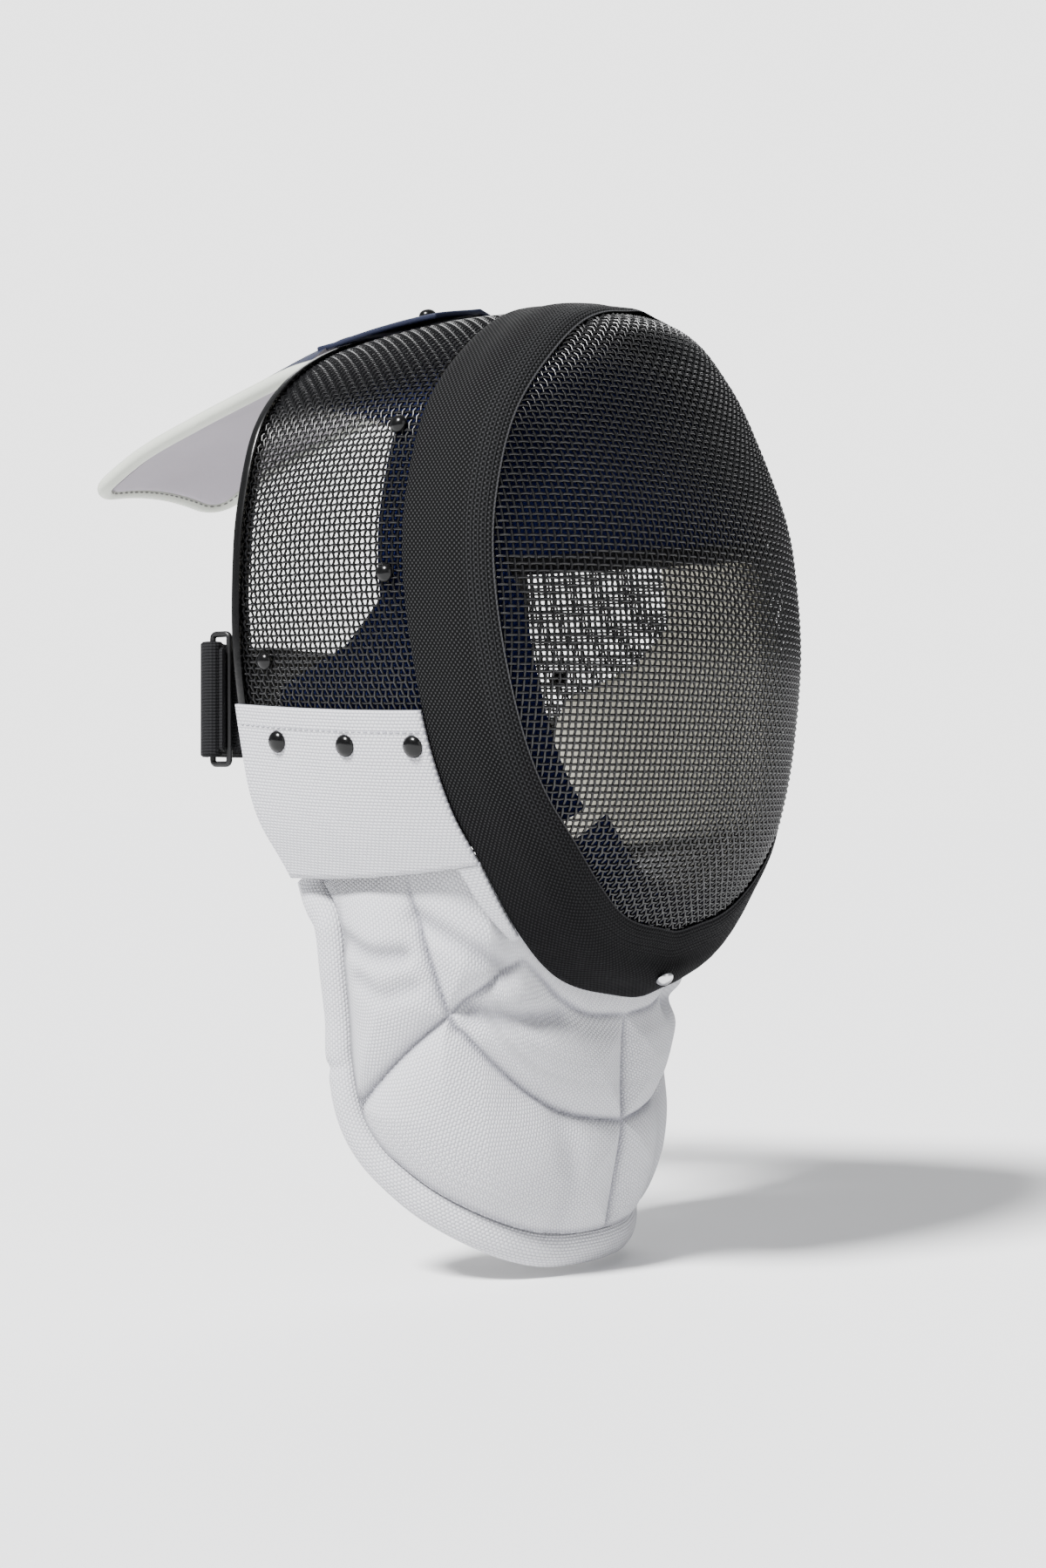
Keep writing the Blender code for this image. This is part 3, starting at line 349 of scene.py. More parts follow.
# %% Painted wire, gloss edging and rivets
wire_paint = Finish("painted wire", (0.002, 0.002, 0.0024), 0.26, gloss=0.45)
wire_paint.rough(0.16 + wire_paint.noise(500.0) * 0.14)
wire_paint.bump(wire_paint.noise(2500.0), 0.00003, 0.5)

gloss_edging = Finish("gloss black edging", (0.002, 0.002, 0.0022), 0.22, gloss=0.35)
gloss_edging.rough(0.16 + gloss_edging.noise(180.0) * 0.16)
gloss_edging.bump(gloss_edging.noise(400.0), 0.0001, 0.3)

black_rivet = Finish("gloss black rivet", (0.002, 0.002, 0.0022), 0.2, gloss=0.3)
black_rivet.rough(0.12 + black_rivet.noise(900.0) * 0.16)

bright_rivet = Finish("bright plated rivet", (0.62, 0.62, 0.63), 0.2, metallic=1.0)
bright_rivet.rough(0.14 + bright_rivet.noise(900.0) * 0.18)

buckle_plastic = Finish("satin black plastic", (0.004, 0.004, 0.0045), 0.38, gloss=0.35)
buckle_plastic.rough(0.3 + buckle_plastic.noise(700.0) * 0.2)
buckle_plastic.bump(buckle_plastic.noise(1600.0), 0.00004, 0.5)

# %% [markdown]
# ## Sheets, walls and sweeps
# Most pieces are a grid of points bent over the mask. One helper turns a grid into a mesh and
# writes a map called cut, whose two numbers are lengths in metres, so that a weave keeps its size.
# Another hands a finished piece over: it rides with the mask and hides the plain one.

# %% Helpers for curves
def smooth_rows(rows, steps):
    """A Catmull-Rom curve through the rows, with steps points to each span."""
    rows = np.asarray(rows, dtype=float)
    padded = np.vstack([2 * rows[0] - rows[1], rows, 2 * rows[-1] - rows[-2]])
    share = np.linspace(0.0, 1.0, steps, endpoint=False)[:, None]
    spans = []
    for index in range(1, len(padded) - 2):
        before, start, end, after = padded[index - 1:index + 3]
        spans.append(0.5 * (2 * start + (end - before) * share
                            + (2 * before - 5 * start + 4 * end - after) * share ** 2
                            + (3 * start - before - 3 * end + after) * share ** 3))
    return np.vstack(spans + [rows[-1:]])


def arc_lengths(points):
    steps = np.linalg.norm(np.diff(points, axis=0), axis=1)
    return np.concatenate([[0.0], np.cumsum(steps)])


def between(at, known, values):
    return np.stack([np.interp(at, known, values[:, axis]) for axis in range(values.shape[1])], axis=-1)


def unit(vectors):
    return vectors / np.maximum(np.linalg.norm(vectors, axis=-1, keepdims=True), 1e-12)


def mirrored(points):
    return points * np.array([-1.0, 1.0, 1.0])


# %% [markdown]
# A mesh made from a grid keeps the cloth's rows and columns, which a sculpted one would lose. The same
# helper makes sheets, tubes and rings, by joining the last column or row to the first.

# %% Helpers for pieces
def new_piece(name, mesh):
    piece = bpy.data.objects.new(name, mesh)
    bpy.context.scene.collection.objects.link(piece)
    return piece


def grid_mesh(name, grid, finish, wrap_columns=False, wrap_rows=False, caps=False):
    """A mesh of four-sided faces through a grid of points, with its map of lengths."""
    rows, columns = grid.shape[:2]
    index = np.arange(rows * columns).reshape(rows, columns)
    spread = grid
    if wrap_columns:
        index = np.hstack([index, index[:, :1]])
        spread = np.concatenate([spread, spread[:, :1]], axis=1)
    if wrap_rows:
        index = np.vstack([index, index[:1]])
        spread = np.concatenate([spread, spread[:1]], axis=0)
    down = np.cumsum(np.linalg.norm(np.diff(spread, axis=0), axis=2).mean(axis=1))
    across = np.cumsum(np.linalg.norm(np.diff(spread, axis=1), axis=2), axis=1)
    down = np.concatenate([[0.0], down])[:, None] * np.ones(spread.shape[1])
    across = np.concatenate([np.zeros((len(spread), 1)), across], axis=1)
    lengths = np.stack([down, across], axis=-1)
    corners = ((slice(None, -1), slice(None, -1)), (slice(None, -1), slice(1, None)),
               (slice(1, None), slice(1, None)), (slice(1, None), slice(None, -1)))
    faces = np.stack([index[corner] for corner in corners], axis=-1).reshape(-1, 4).tolist()
    map_values = np.stack([lengths[corner] for corner in corners], axis=-2).reshape(-1, 2)
    if caps:
        faces.append(list(range(columns))[::-1])
        faces.append(list(range((rows - 1) * columns, rows * columns)))
        map_values = np.vstack([map_values, np.zeros((2 * columns, 2))])
    mesh = bpy.data.meshes.new(name)
    mesh.from_pydata(grid.reshape(-1, 3).tolist(), [], faces)
    mesh.uv_layers.new(name="cut").data.foreach_set("uv", map_values.ravel())
    mesh.materials.append(finish.material)
    return mesh


def facing_out(mesh, centre=None):
    """Turns the faces outwards: all together from a centre, or each closed body by itself."""
    working = bmesh.new()
    working.from_mesh(mesh)
    bmesh.ops.remove_doubles(working, verts=working.verts, dist=1e-7)
    bmesh.ops.recalc_face_normals(working, faces=working.faces)
    if centre is not None:
        middle = Vector(centre)
        facing = sum(face.normal.dot(face.calc_center_median() - middle) * face.calc_area()
                     for face in working.faces)
        if facing < 0:
            bmesh.ops.reverse_faces(working, faces=working.faces)
    working.to_mesh(mesh)
    working.free()
    mesh.shade_smooth()
    mesh.set_sharp_from_angle(angle=math.radians(50))


def swept(name, finish, profile, origins, across, along, closed=False):
    """A closed profile carried along a route; its two axes run across and along at each point."""
    rings = origins[:, None] + profile[None, :, :1] * across[:, None] + profile[None, :, 1:] * along[:, None]
    mesh = grid_mesh(name, rings, finish, wrap_columns=True, wrap_rows=closed, caps=not closed)
    facing_out(mesh)
    return new_piece(name, mesh)


def hand_over(piece, slot, *nodes):
    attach(piece, "root")
    if nodes:
        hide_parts(*nodes)
    piece.data.calc_loop_triangles()
    print(piece.name, len(piece.data.loop_triangles), "triangles")


# %% [markdown]
# ## The face of the mask
# All the hard and soft pieces lie on one face: a bowl in front of the rim and a side behind it. This
# class gives any point of that face from a station round the rim and a reach from it, and can lift
# the point off the face. It repeats the plain model's rule with twelve times as many stations.

# %% The bowl and the side as one face
class Face:
    def __init__(self):
        dense = smooth_rows(RIM, 24)
        half_width = FACE_WIDTH / 2
        rim = np.stack([dense[:, 1] * half_width, -RIM_AHEAD_OF_SEAT - dense[:, 2] * CHIN_FORWARD,
                        RIM_ABOVE_SEAT - dense[:, 0] * RIM_HEIGHT], axis=1)
        edge = np.stack([dense[:, 5] * half_width, -RIM_AHEAD_OF_SEAT + dense[:, 6] * SHELL_DEPTH,
                         RIM_ABOVE_SEAT - dense[:, 4] * RIM_HEIGHT], axis=1)
        order = np.argsort(rim[:, 2])
        self.heights, self.widths, self.planes = rim[order, 2], rim[order, 0], rim[order, 1]
        self.depths = dense[order, 3] * BOWL_DEPTH
        length = arc_lengths(rim)
        corner = length[CORNER_ROW * 24]
        stations = np.concatenate([np.linspace(0.0, corner, UPPER + 1),
                                   np.linspace(corner, length[-1], LOWER + 1)[1:]])
        half_rim = between(stations, length, rim)
        half_edge = between(stations, length, edge)
        self.rim = np.vstack([mirrored(half_rim), half_rim[-2:0:-1]])
        self.edge = np.vstack([mirrored(half_edge), half_edge[-2:0:-1]])
        self.centre_height = RIM_ABOVE_SEAT - BOWL_CENTRE_DOWN * RIM_HEIGHT
        self.front = [self.front_line(point) for point in self.rim]
        self.side = [self.side_line(a, b) for a, b in zip(self.rim, self.edge)]
        self.front_arcs = [arc_lengths(line) for line in self.front]
        self.side_arcs = [arc_lengths(line) for line in self.side]
        self.front_reach = np.array([arcs[-1] for arcs in self.front_arcs])
        self.side_reach = np.array([arcs[-1] for arcs in self.side_arcs])

    def bowl_y(self, x, z):
        width = np.maximum(np.interp(z, self.heights, self.widths), 1e-6)
        inside = np.maximum(1e-6, 1.0 - (x / width) ** 2)
        plane = np.interp(z, self.heights, self.planes)
        return plane - np.interp(z, self.heights, self.depths) * np.sqrt(inside)

    def front_line(self, point):
        turn = np.linspace(0.0, math.pi / 2, 60)
        x = point[0] * np.cos(turn)
        z = self.centre_height + (point[2] - self.centre_height) * np.cos(turn)
        line = np.stack([x, self.bowl_y(x, z), z], axis=1)
        line[0] = point
        return line

    def side_line(self, start, end):
        share = np.linspace(0.0, 1.0, 20)[:, None]
        outward = unit(np.array([start[0], 0.0, start[2] - self.centre_height]))
        return start + (end - start) * share + outward * SIDE_BULGE * 4 * share * (1 - share)

    def face(self, reach):
        reach = np.broadcast_to(reach, (len(self.rim),))
        points = np.empty((len(self.rim), 3))
        for index, value in enumerate(reach):
            if value < 0:
                points[index] = between(-value, self.front_arcs[index], self.front[index])
            else:
                points[index] = between(value, self.side_arcs[index], self.side[index])
        return points

    def normals(self, reach):
        reach = np.asarray(reach)
        points = self.face(reach)
        along = self.face(reach + FACE_STEP) - self.face(reach - FACE_STEP)
        around = np.roll(points, -FINE, axis=0) - np.roll(points, FINE, axis=0)
        normal = unit(np.cross(around, along))
        facing = np.sum(normal * (points - np.array([0.0, 0.0, self.centre_height])), axis=1)
        return normal * np.sign(facing)[:, None]

    def row(self, reach, lift=0.0):
        return self.face(reach) + self.normals(reach) * np.broadcast_to(lift, (len(self.rim),))[:, None]

    def station_at(self, down):
        right = self.rim[:UPPER + LOWER + 1, 2]
        return float(np.interp(down - RIM_ABOVE_SEAT, -right, np.arange(UPPER + LOWER + 1)))


face = Face()
print("the rim is", round(float(arc_lengths(face.rim)[-1]), 3), "m round")


def arch(row):
    """A row's stations from the right lower corner over the crown to the left lower corner."""
    return np.vstack([row[UPPER:0:-1], row[0:1], row[:-UPPER - 1:-1]])


# %% [markdown]
# ## Woven wire
# The bowl of a real mask is a flat sheet of plain-woven wire pressed into shape. The wires don't
# stretch, so every little cell keeps its four equal sides and only leans over. Such a sheet is called
# a net of Chebyshev: from two crossing wires, each new crossing lies one pitch from two known ones.
# Newton's method finds it, a whole diagonal at a time. Copying a flat picture of a weave over the bowl
# would stretch it at the rim, and this doesn't.

# %% Crossings of the bowl's wires
WIRE_PITCH = 0.0026
WIRE_RADIUS = 0.00055
NET_STOP = 0.009
COUNT_ACROSS = 74
COUNT_UP = 66


def bowl_normal(points):
    """The height field's slopes at points of the bowl, as an outward vector."""
    step = 1e-5
    x, z = points[..., 0], points[..., 2]
    slope_x = (face.bowl_y(x + step, z) - face.bowl_y(x - step, z)) / (2 * step)
    slope_z = (face.bowl_y(x, z + step) - face.bowl_y(x, z - step)) / (2 * step)
    return np.stack([slope_x, -np.ones_like(slope_x), slope_z], axis=-1)


def next_crossings(first, second, guess):
    """Points of the bowl one pitch from two known crossings each."""
    at = guess.copy()
    for _ in range(8):
        off = at[:, 1] - face.bowl_y(at[:, 0], at[:, 2])
        rows = np.stack([-bowl_normal(at), at - first, at - second], axis=1)
        values = np.stack([off, (np.sum((at - first) ** 2, axis=1) - WIRE_PITCH ** 2) / 2,
                           (np.sum((at - second) ** 2, axis=1) - WIRE_PITCH ** 2) / 2], axis=1)
        safe = np.abs(np.linalg.det(rows)) > 1e-12
        rows[~safe] = np.eye(3)
        move = np.linalg.solve(rows, values[..., None])[..., 0]
        at -= np.clip(move, -WIRE_PITCH / 2, WIRE_PITCH / 2)
        at[~safe] = np.nan
    return at


def bowl_quadrant(direction):
    """Crossings from the bowl's middle to its left, upwards or downwards."""
    net = np.full((COUNT_UP, COUNT_ACROSS, 3), np.nan)
    reach = np.linspace(0.0, 0.16, 800)
    meridian = np.stack([0 * reach, face.bowl_y(0 * reach, face.centre_height + direction * reach),
                         face.centre_height + direction * reach], axis=1)
    level = np.stack([reach, face.bowl_y(reach, face.centre_height + 0 * reach),
                      face.centre_height + 0 * reach], axis=1)
    net[:, 0] = between(np.arange(COUNT_UP) * WIRE_PITCH, arc_lengths(meridian), meridian)
    net[0, :] = between(np.arange(COUNT_ACROSS) * WIRE_PITCH, arc_lengths(level), level)
    for diagonal in range(2, COUNT_UP + COUNT_ACROSS - 1):
        up = np.arange(max(1, diagonal - COUNT_ACROSS + 1), min(COUNT_UP, diagonal))
        out = diagonal - up
        first, second, corner = net[up - 1, out], net[up, out - 1], net[up - 1, out - 1]
        known = ~np.isnan(first + second + corner).any(axis=1)
        up, out = up[known], out[known]
        if len(up):
            first, second, corner = first[known], second[known], corner[known]
            net[up, out] = next_crossings(first, second, first + second - corner)
    return net


stop_line = face.row(-NET_STOP)
stop_turn = np.arctan2(stop_line[:, 0], stop_line[:, 2] - face.centre_height)
stop_order = np.argsort(stop_turn)
stop_radius = np.hypot(stop_line[:, 0], stop_line[:, 2] - face.centre_height)


def inside_rim(points):
    turn = np.arctan2(points[..., 0], points[..., 2] - face.centre_height)
    radius = np.hypot(points[..., 0], points[..., 2] - face.centre_height)
    limit = np.interp(turn, stop_turn[stop_order], stop_radius[stop_order], period=math.tau)
    return radius < limit


upper_left = bowl_quadrant(1.0)
lower_left = bowl_quadrant(-1.0)
left_net = np.concatenate([lower_left[:0:-1], upper_left], axis=0)
bowl_net = np.concatenate([mirrored(left_net[:, :0:-1]), left_net], axis=1)
bowl_out = unit(bowl_normal(bowl_net))
bowl_net = bowl_net - bowl_out * MESH_THICKNESS / 2
bowl_known = ~np.isnan(bowl_net).any(axis=2) & inside_rim(np.nan_to_num(bowl_net))
print("bowl crossings:", int(bowl_known.sum()))

# %% [markdown]
# The side is bent one way only, so its wires can follow the face's own rows and stations.

# %% Crossings of the side's wires
middle_row = arch(face.row(0.06))
middle_arc = arc_lengths(middle_row)
side_columns = np.interp(np.arange(0.0, middle_arc[-1], WIRE_PITCH), middle_arc, np.arange(len(middle_arc)))
side_reaches = np.arange(NET_STOP, face.side_reach.max(), WIRE_PITCH)
side_net = np.empty((len(side_reaches), len(side_columns), 3))
side_out = np.empty_like(side_net)
side_end = np.interp(side_columns, np.arange(len(middle_arc)), arch(face.side_reach[:, None])[:, 0])
for index, reach in enumerate(side_reaches):
    held = np.minimum(reach, face.side_reach)
    layer = arch(face.row(held, -MESH_THICKNESS / 2))
    side_net[index] = between(side_columns, np.arange(len(middle_arc)), layer)
    side_out[index] = between(side_columns, np.arange(len(middle_arc)), arch(face.normals(held)))
side_known = side_reaches[:, None] < side_end[None, :] - 0.001
print("side crossings:", int(side_known.sum()))


# %% [markdown]
# A Geometry Nodes tree turns the crossings into wires. Each wire is a chain of points that knows which
# way is out and whether it goes over or under there. The tree lifts or sinks each point by that, and
# sweeps a small polygon along the chain. Its wire radius, lift and number of sides are named inputs,
# so a finer or coarser weave is a matter of three numbers.

# %% A class for Geometry Nodes trees
class Recipe:
    def __init__(self, name):
        self.tree = bpy.data.node_groups.new(name, "GeometryNodeTree")
        self.tree.interface.new_socket("Geometry", in_out="INPUT", socket_type="NodeSocketGeometry")
        self.tree.interface.new_socket("Geometry", in_out="OUTPUT", socket_type="NodeSocketGeometry")
        self.start = self.tree.nodes.new("NodeGroupInput")
        self.end = self.tree.nodes.new("NodeGroupOutput")

    def named(self, name, kind, value=None):
        socket = self.tree.interface.new_socket(name, in_out="INPUT", socket_type=kind)
        if value is not None:
            socket.default_value = value
        return self.start.outputs[name]

    def node(self, kind, settings, inputs):
        node = self.tree.nodes.new(kind)
        for name, value in settings.items():
            setattr(node, name, value)
        for name, value in inputs.items():
            if isinstance(value, bpy.types.NodeSocket):
                self.tree.links.new(value, node.inputs[name])
            else:
                node.inputs[name].default_value = value
        return node.outputs

    def attribute(self, name, kind):
        return self.node("GeometryNodeInputNamedAttribute", {"data_type": kind}, {"Name": name})["Attribute"]

    def close(self, geometry):
        finish = self.named("Finish", "NodeSocketMaterial")
        real = self.node("GeometryNodeRealizeInstances", {}, {"Geometry": geometry})[0]
        smooth = self.node("GeometryNodeSetShadeSmooth", {}, {"Geometry": real})[0]
        painted = self.node("GeometryNodeSetMaterial", {}, {"Geometry": smooth, "Material": finish})[0]
        self.tree.links.new(painted, self.end.inputs["Geometry"])

    def make(self, name, source, values):
        """Runs the tree on a source mesh and keeps the result as a plain mesh."""
        guide = new_piece(name + "_guide", source)
        modifier = guide.modifiers.new(self.tree.name, "NODES")
        modifier.node_group = self.tree
        for item in self.tree.interface.items_tree:
            if item.item_type == "SOCKET" and item.in_out == "INPUT" and item.name in values:
                modifier[item.identifier] = values[item.name]
        graph = bpy.context.evaluated_depsgraph_get()
        mesh = bpy.data.meshes.new_from_object(guide.evaluated_get(graph))
        bpy.data.objects.remove(guide, do_unlink=True)
        mesh.name = name
        return new_piece(name, mesh)


# %% [markdown]
# Each wire of the mask is a bent rod. The weave could be a texture, but then the lining wouldn't show
# through it with the right shift from side to side. A tube for each wire costs triangles and looks right
# up close.

# %% The tree that weaves a wire
weave = Recipe("woven_wire")
wire_radius = weave.named("Wire radius", "NodeSocketFloat", WIRE_RADIUS)
wire_lift = weave.named("Lift", "NodeSocketFloat", WIRE_RADIUS)
wire_sides = weave.named("Sides", "NodeSocketInt", 5)
wire_side = weave.attribute("side", "FLOAT")
wire_out = weave.attribute("out", "FLOAT_VECTOR")
wire_amount = weave.node("ShaderNodeMath", {"operation": "MULTIPLY"}, {0: wire_side, 1: wire_lift})[0]
wire_move = weave.node("ShaderNodeVectorMath", {"operation": "SCALE"}, {0: wire_out, "Scale": wire_amount})[0]
wire_points = weave.node("GeometryNodeSetPosition", {},
                         {"Geometry": weave.start.outputs["Geometry"], "Offset": wire_move})
wire_curve = weave.node("GeometryNodeMeshToCurve", {}, {"Mesh": wire_points[0]})
wire_ring = weave.node("GeometryNodeCurvePrimitiveCircle", {},
                       {"Resolution": wire_sides, "Radius": wire_radius})
wire_tube = weave.node("GeometryNodeCurveToMesh", {},
                       {"Curve": wire_curve[0], "Profile Curve": wire_ring[0], "Fill Caps": True})
weave.close(wire_tube[0])


def chains(name, net, out, known, side):
    """The wires along the rows of a net: runs of known crossings, each with its way out and its side."""
    points, edges, outs, sides = [], [], [], []
    for row in range(net.shape[0]):
        previous = None
        for column in range(net.shape[1]):
            if not known[row, column]:
                previous = None
                continue
            lonely = previous is None and (column + 1 == net.shape[1] or not known[row, column + 1])
            if lonely:
                continue
            points.append(net[row, column])
            outs.append(out[row, column])
            sides.append(side * (1.0 if (row + column) % 2 else -1.0))
            if previous is not None:
                edges.append((previous, len(points) - 1))
            previous = len(points) - 1
    mesh = bpy.data.meshes.new(name)
    mesh.from_pydata([tuple(point) for point in points], edges, [])
    mesh.attributes.new("out", "FLOAT_VECTOR", "POINT").data.foreach_set("vector", np.ravel(outs))
    mesh.attributes.new("side", "FLOAT", "POINT").data.foreach_set("value", sides)
    return mesh


# %% [markdown]
# The two wire sets of a weave are the rows and the columns of one net. Turning the net over and changing
# the sign of the sides makes the second set pass under where the first passes over.

# %% Weave the bowl and the side
def woven(name, net, out, known, side, node):
    source = chains(name, net, out, known, side)
    piece = weave.make(name, source, {"Wire radius": WIRE_RADIUS, "Lift": WIRE_RADIUS, "Sides": 5,
                                      "Finish": wire_paint.material})
    hand_over(piece, "wire_black", node)


woven("bowl_wires_level", bowl_net, bowl_out, bowl_known, 1.0, "front_mesh")
woven("bowl_wires_upright", bowl_net.transpose(1, 0, 2), bowl_out.transpose(1, 0, 2),
      bowl_known.T, -1.0, "front_mesh")
woven("side_wires_around", side_net, side_out, side_known, 1.0, "side_mesh")
woven("side_wires_across", side_net.transpose(1, 0, 2), side_out.transpose(1, 0, 2),
      side_known.T, -1.0, "side_mesh")

# %% [markdown]
# ## The trim band
# A wide elastic band hides the seam where bowl and side meet. It is one closed strip, pulled tight,
# so it bridges the bend of the rim in a soft curve. Its section is a thin lens with rolled edges,
# and a small pucker stands up at the crown, where the band's ends were joined.

# %% The elastic trim
def make_trim():
    half = TRIM_WIDTH / 2
    reaches = np.linspace(-half, half, 25)
    bridge = CLEARANCE + 0.0011 * np.exp(-(reaches / 0.006) ** 2)
    edge_round = np.sqrt(np.clip(1.0 - (np.abs(reaches) / half) ** 10, 0.0, 1.0))
    count = len(face.rim)
    turn = np.arange(count) / count * math.tau
    crown = np.exp(-(np.minimum(turn, math.tau - turn) / 0.05) ** 2)
    ripple = 0.00012 * np.sin(turn * 61.0) + 0.00010 * np.sin(turn * 37.0 + 1.0)
    inner, outer = [], []
    for reach, low, rounding in zip(reaches, bridge, edge_round):
        front_share = np.clip((-reach - 0.012) / 0.007, 0.0, 1.0)
        pucker = crown * 0.0022 * front_share + ripple * abs(reach) / half
        inner.append(face.row(reach, low + pucker))
        outer.append(face.row(reach, low + pucker + 0.0003 + (TRIM_THICKNESS - 0.0003) * rounding))
    inner, outer = np.array(inner), np.array(outer)
    for _ in range(2):
        outer[1:-1] = (outer[:-2] + 2 * outer[1:-1] + outer[2:]) / 4
        inner[1:-1] = (inner[:-2] + 2 * inner[1:-1] + inner[2:]) / 4
    ring = np.concatenate([outer, inner[::-1]], axis=0)
    for _ in range(30):
        ring = (np.roll(ring, 1, axis=1) + 2 * ring + np.roll(ring, -1, axis=1)) / 4
    mesh = grid_mesh("elastic_trim", ring.transpose(1, 0, 2), trim_elastic, wrap_columns=True, wrap_rows=True)
    facing_out(mesh)
    return new_piece("elastic_trim", mesh)


hand_over(make_trim(), "elastic_charcoal", "trim_band")

# %% [markdown]
# ## The edging of the side
# A glossy channel is pushed over the raw rear edge of the wire. Its section is a deep U with a
# round back, carried along the edge.

# %% The gloss edging
BINDING_WIDTH = 0.0060
BINDING_WALL = 0.0013


def make_edging():
    last = int(face.station_at(PANEL_TOP_DOWN))
    edge = face.row(face.side_reach)
    lifted = face.row(face.side_reach, CLEARANCE)
    before = face.row(face.side_reach - EDGE_STEP)
    keep = slice(UPPER - last, UPPER + last + 1)
    origins = arch(edge)[keep]
    across = unit(arch(lifted - edge)[keep])
    along = unit(arch(edge - before)[keep])
    outside = MESH_THICKNESS / 2 + CLEARANCE + BINDING_WALL
    inside = MESH_THICKNESS / 2 + CLEARANCE
    leg = -BINDING_WIDTH + outside
    turn = np.linspace(0.0, math.pi, 11)
    back = [(outside * math.cos(a), outside * math.sin(a) * 0.8) for a in turn]
    hollow = [(inside * math.cos(a), inside * math.sin(a) * 0.3) for a in turn[::-2]]
    bead = BINDING_WALL * 0.25
    profile = [(outside - bead, leg - bead), (outside, leg)] + back
    profile += [(-outside, leg), (-outside + bead, leg - bead)]
    profile += [(-inside, leg)] + hollow + [(inside, leg)]
    profile = np.array(profile) - np.array([MESH_THICKNESS / 2, 0.0])
    return swept("gloss_edging", gloss_edging, profile, origins, across, along)


hand_over(make_edging(), "binding_black", "rear_binding")

# %% [markdown]
# ## White panels
# On each side a piece of the bib's cloth is stretched over the lower wire, folded in round the rear edge and
# riveted. It is drawn as an open sheet that follows the face, given its wall by Solidify, and slightly
# ruffled, since cloth over wire is never quite flat. Its cut is measured along its own rows and columns.

# %% The side panels
WEDGE_WIDTH = 0.009
HEAD_MIDDLE = (0.0, RIM_AHEAD_OF_SEAT, RIM_ABOVE_SEAT - RIM_HEIGHT / 2)


def add_wall(piece, thickness):
    wall = piece.modifiers.new("wall", "SOLIDIFY")
    wall.thickness = thickness
    wall.offset = 1.0
    wall.use_quality_normals = True


def make_panel():
    first = face.station_at(PANEL_TOP_DOWN)
    front = TRIM_WIDTH / 2 + CLEARANCE
    body = front + WEDGE_WIDTH

    def full(row):
        whole = row[int(first):UPPER + 1].copy()
        whole[0] += (whole[1] - whole[0]) * (first % 1.0)
        return whole

    rows = []
    stations = np.arange(len(face.rim))
    for share in np.linspace(0.0, 1.0, 33):
        reach = front + (face.side_reach - front) * share
        ruffle = 0.00025 * np.sin(stations / 7.0 + share * 9.0) * np.sin(share * 17.0 + stations / 19.0)
        rows.append(full(face.row(reach, CLEARANCE + 0.0002 + ruffle * math.sin(share * math.pi))))
    edge = face.row(face.side_reach)
    out = unit(face.row(face.side_reach, CLEARANCE) - edge)
    along = unit(edge - face.row(face.side_reach - EDGE_STEP))
    middle = -MESH_THICKNESS / 2
    for turn in np.linspace(0.15, 1.0, 6) * math.pi:
        radius = MESH_THICKNESS / 2 + CLEARANCE
        rows.append(full(edge + out * (middle + radius * math.cos(turn)) + along * radius * math.sin(turn)))
    for reach in np.linspace(0.0, PANEL_TURN_IN, 6)[1:]:
        rows.append(full(edge + out * (middle - MESH_THICKNESS / 2 - CLEARANCE) - along * reach))
    rows = np.array(rows)
    mesh = grid_mesh("side_panel", rows, white_cloth)
    cut_width = float(np.linalg.norm(np.diff(rows, axis=0), axis=2).sum(axis=0).max())
    cut_length = float(np.linalg.norm(np.diff(rows, axis=1), axis=2).sum(axis=1).max())
    wedge_part = slice(UPPER, UPPER + 2 * FINE + 1)
    narrowing = np.ones(len(face.rim))
    narrowing[wedge_part] = np.interp(np.arange(2 * FINE + 1), (0, FINE, 2 * FINE), (1.0, 0.8, 0.3))
    wedge = [face.row(front + WEDGE_WIDTH * narrowing * share, CLEARANCE)[wedge_part]
             for share in np.linspace(0.0, 1.0, 6)]
    other = grid_mesh("side_wedge", np.array(wedge), white_cloth)
    working = bmesh.new()
    working.from_mesh(mesh)
    working.from_mesh(other)
    working.to_mesh(mesh)
    working.free()
    facing_out(mesh, HEAD_MIDDLE)
    return mesh, (cut_width, cut_length)


panel_mesh, panel_cut = make_panel()
print("each panel is cut to", [round(value, 4) for value in panel_cut], "m")
left_mesh = panel_mesh.copy()
left_mesh.transform(((-1, 0, 0, 0), (0, 1, 0, 0), (0, 0, 1, 0), (0, 0, 0, 1)))
left_mesh.flip_normals()
for panel_name, panel_data in (("side_panel_right", panel_mesh), ("side_panel_left", left_mesh)):
    panel = new_piece("cloth_" + panel_name, panel_data)
    add_wall(panel, PANEL_THICKNESS)
    hand_over(panel, "cloth_white", panel_name)

# %% [markdown]
# ## The bib
# The bib guards the throat. It is two layers of tough cloth with padding between, held together by
# seams, so it swells between them and dips along each one. The shape is a stack of rounded sections.
# Each point then moves out by a height that grows with its distance from the nearest seam. Seams and
# folds are lists of places, each a turn from the rear edge to the middle of the front and a level.

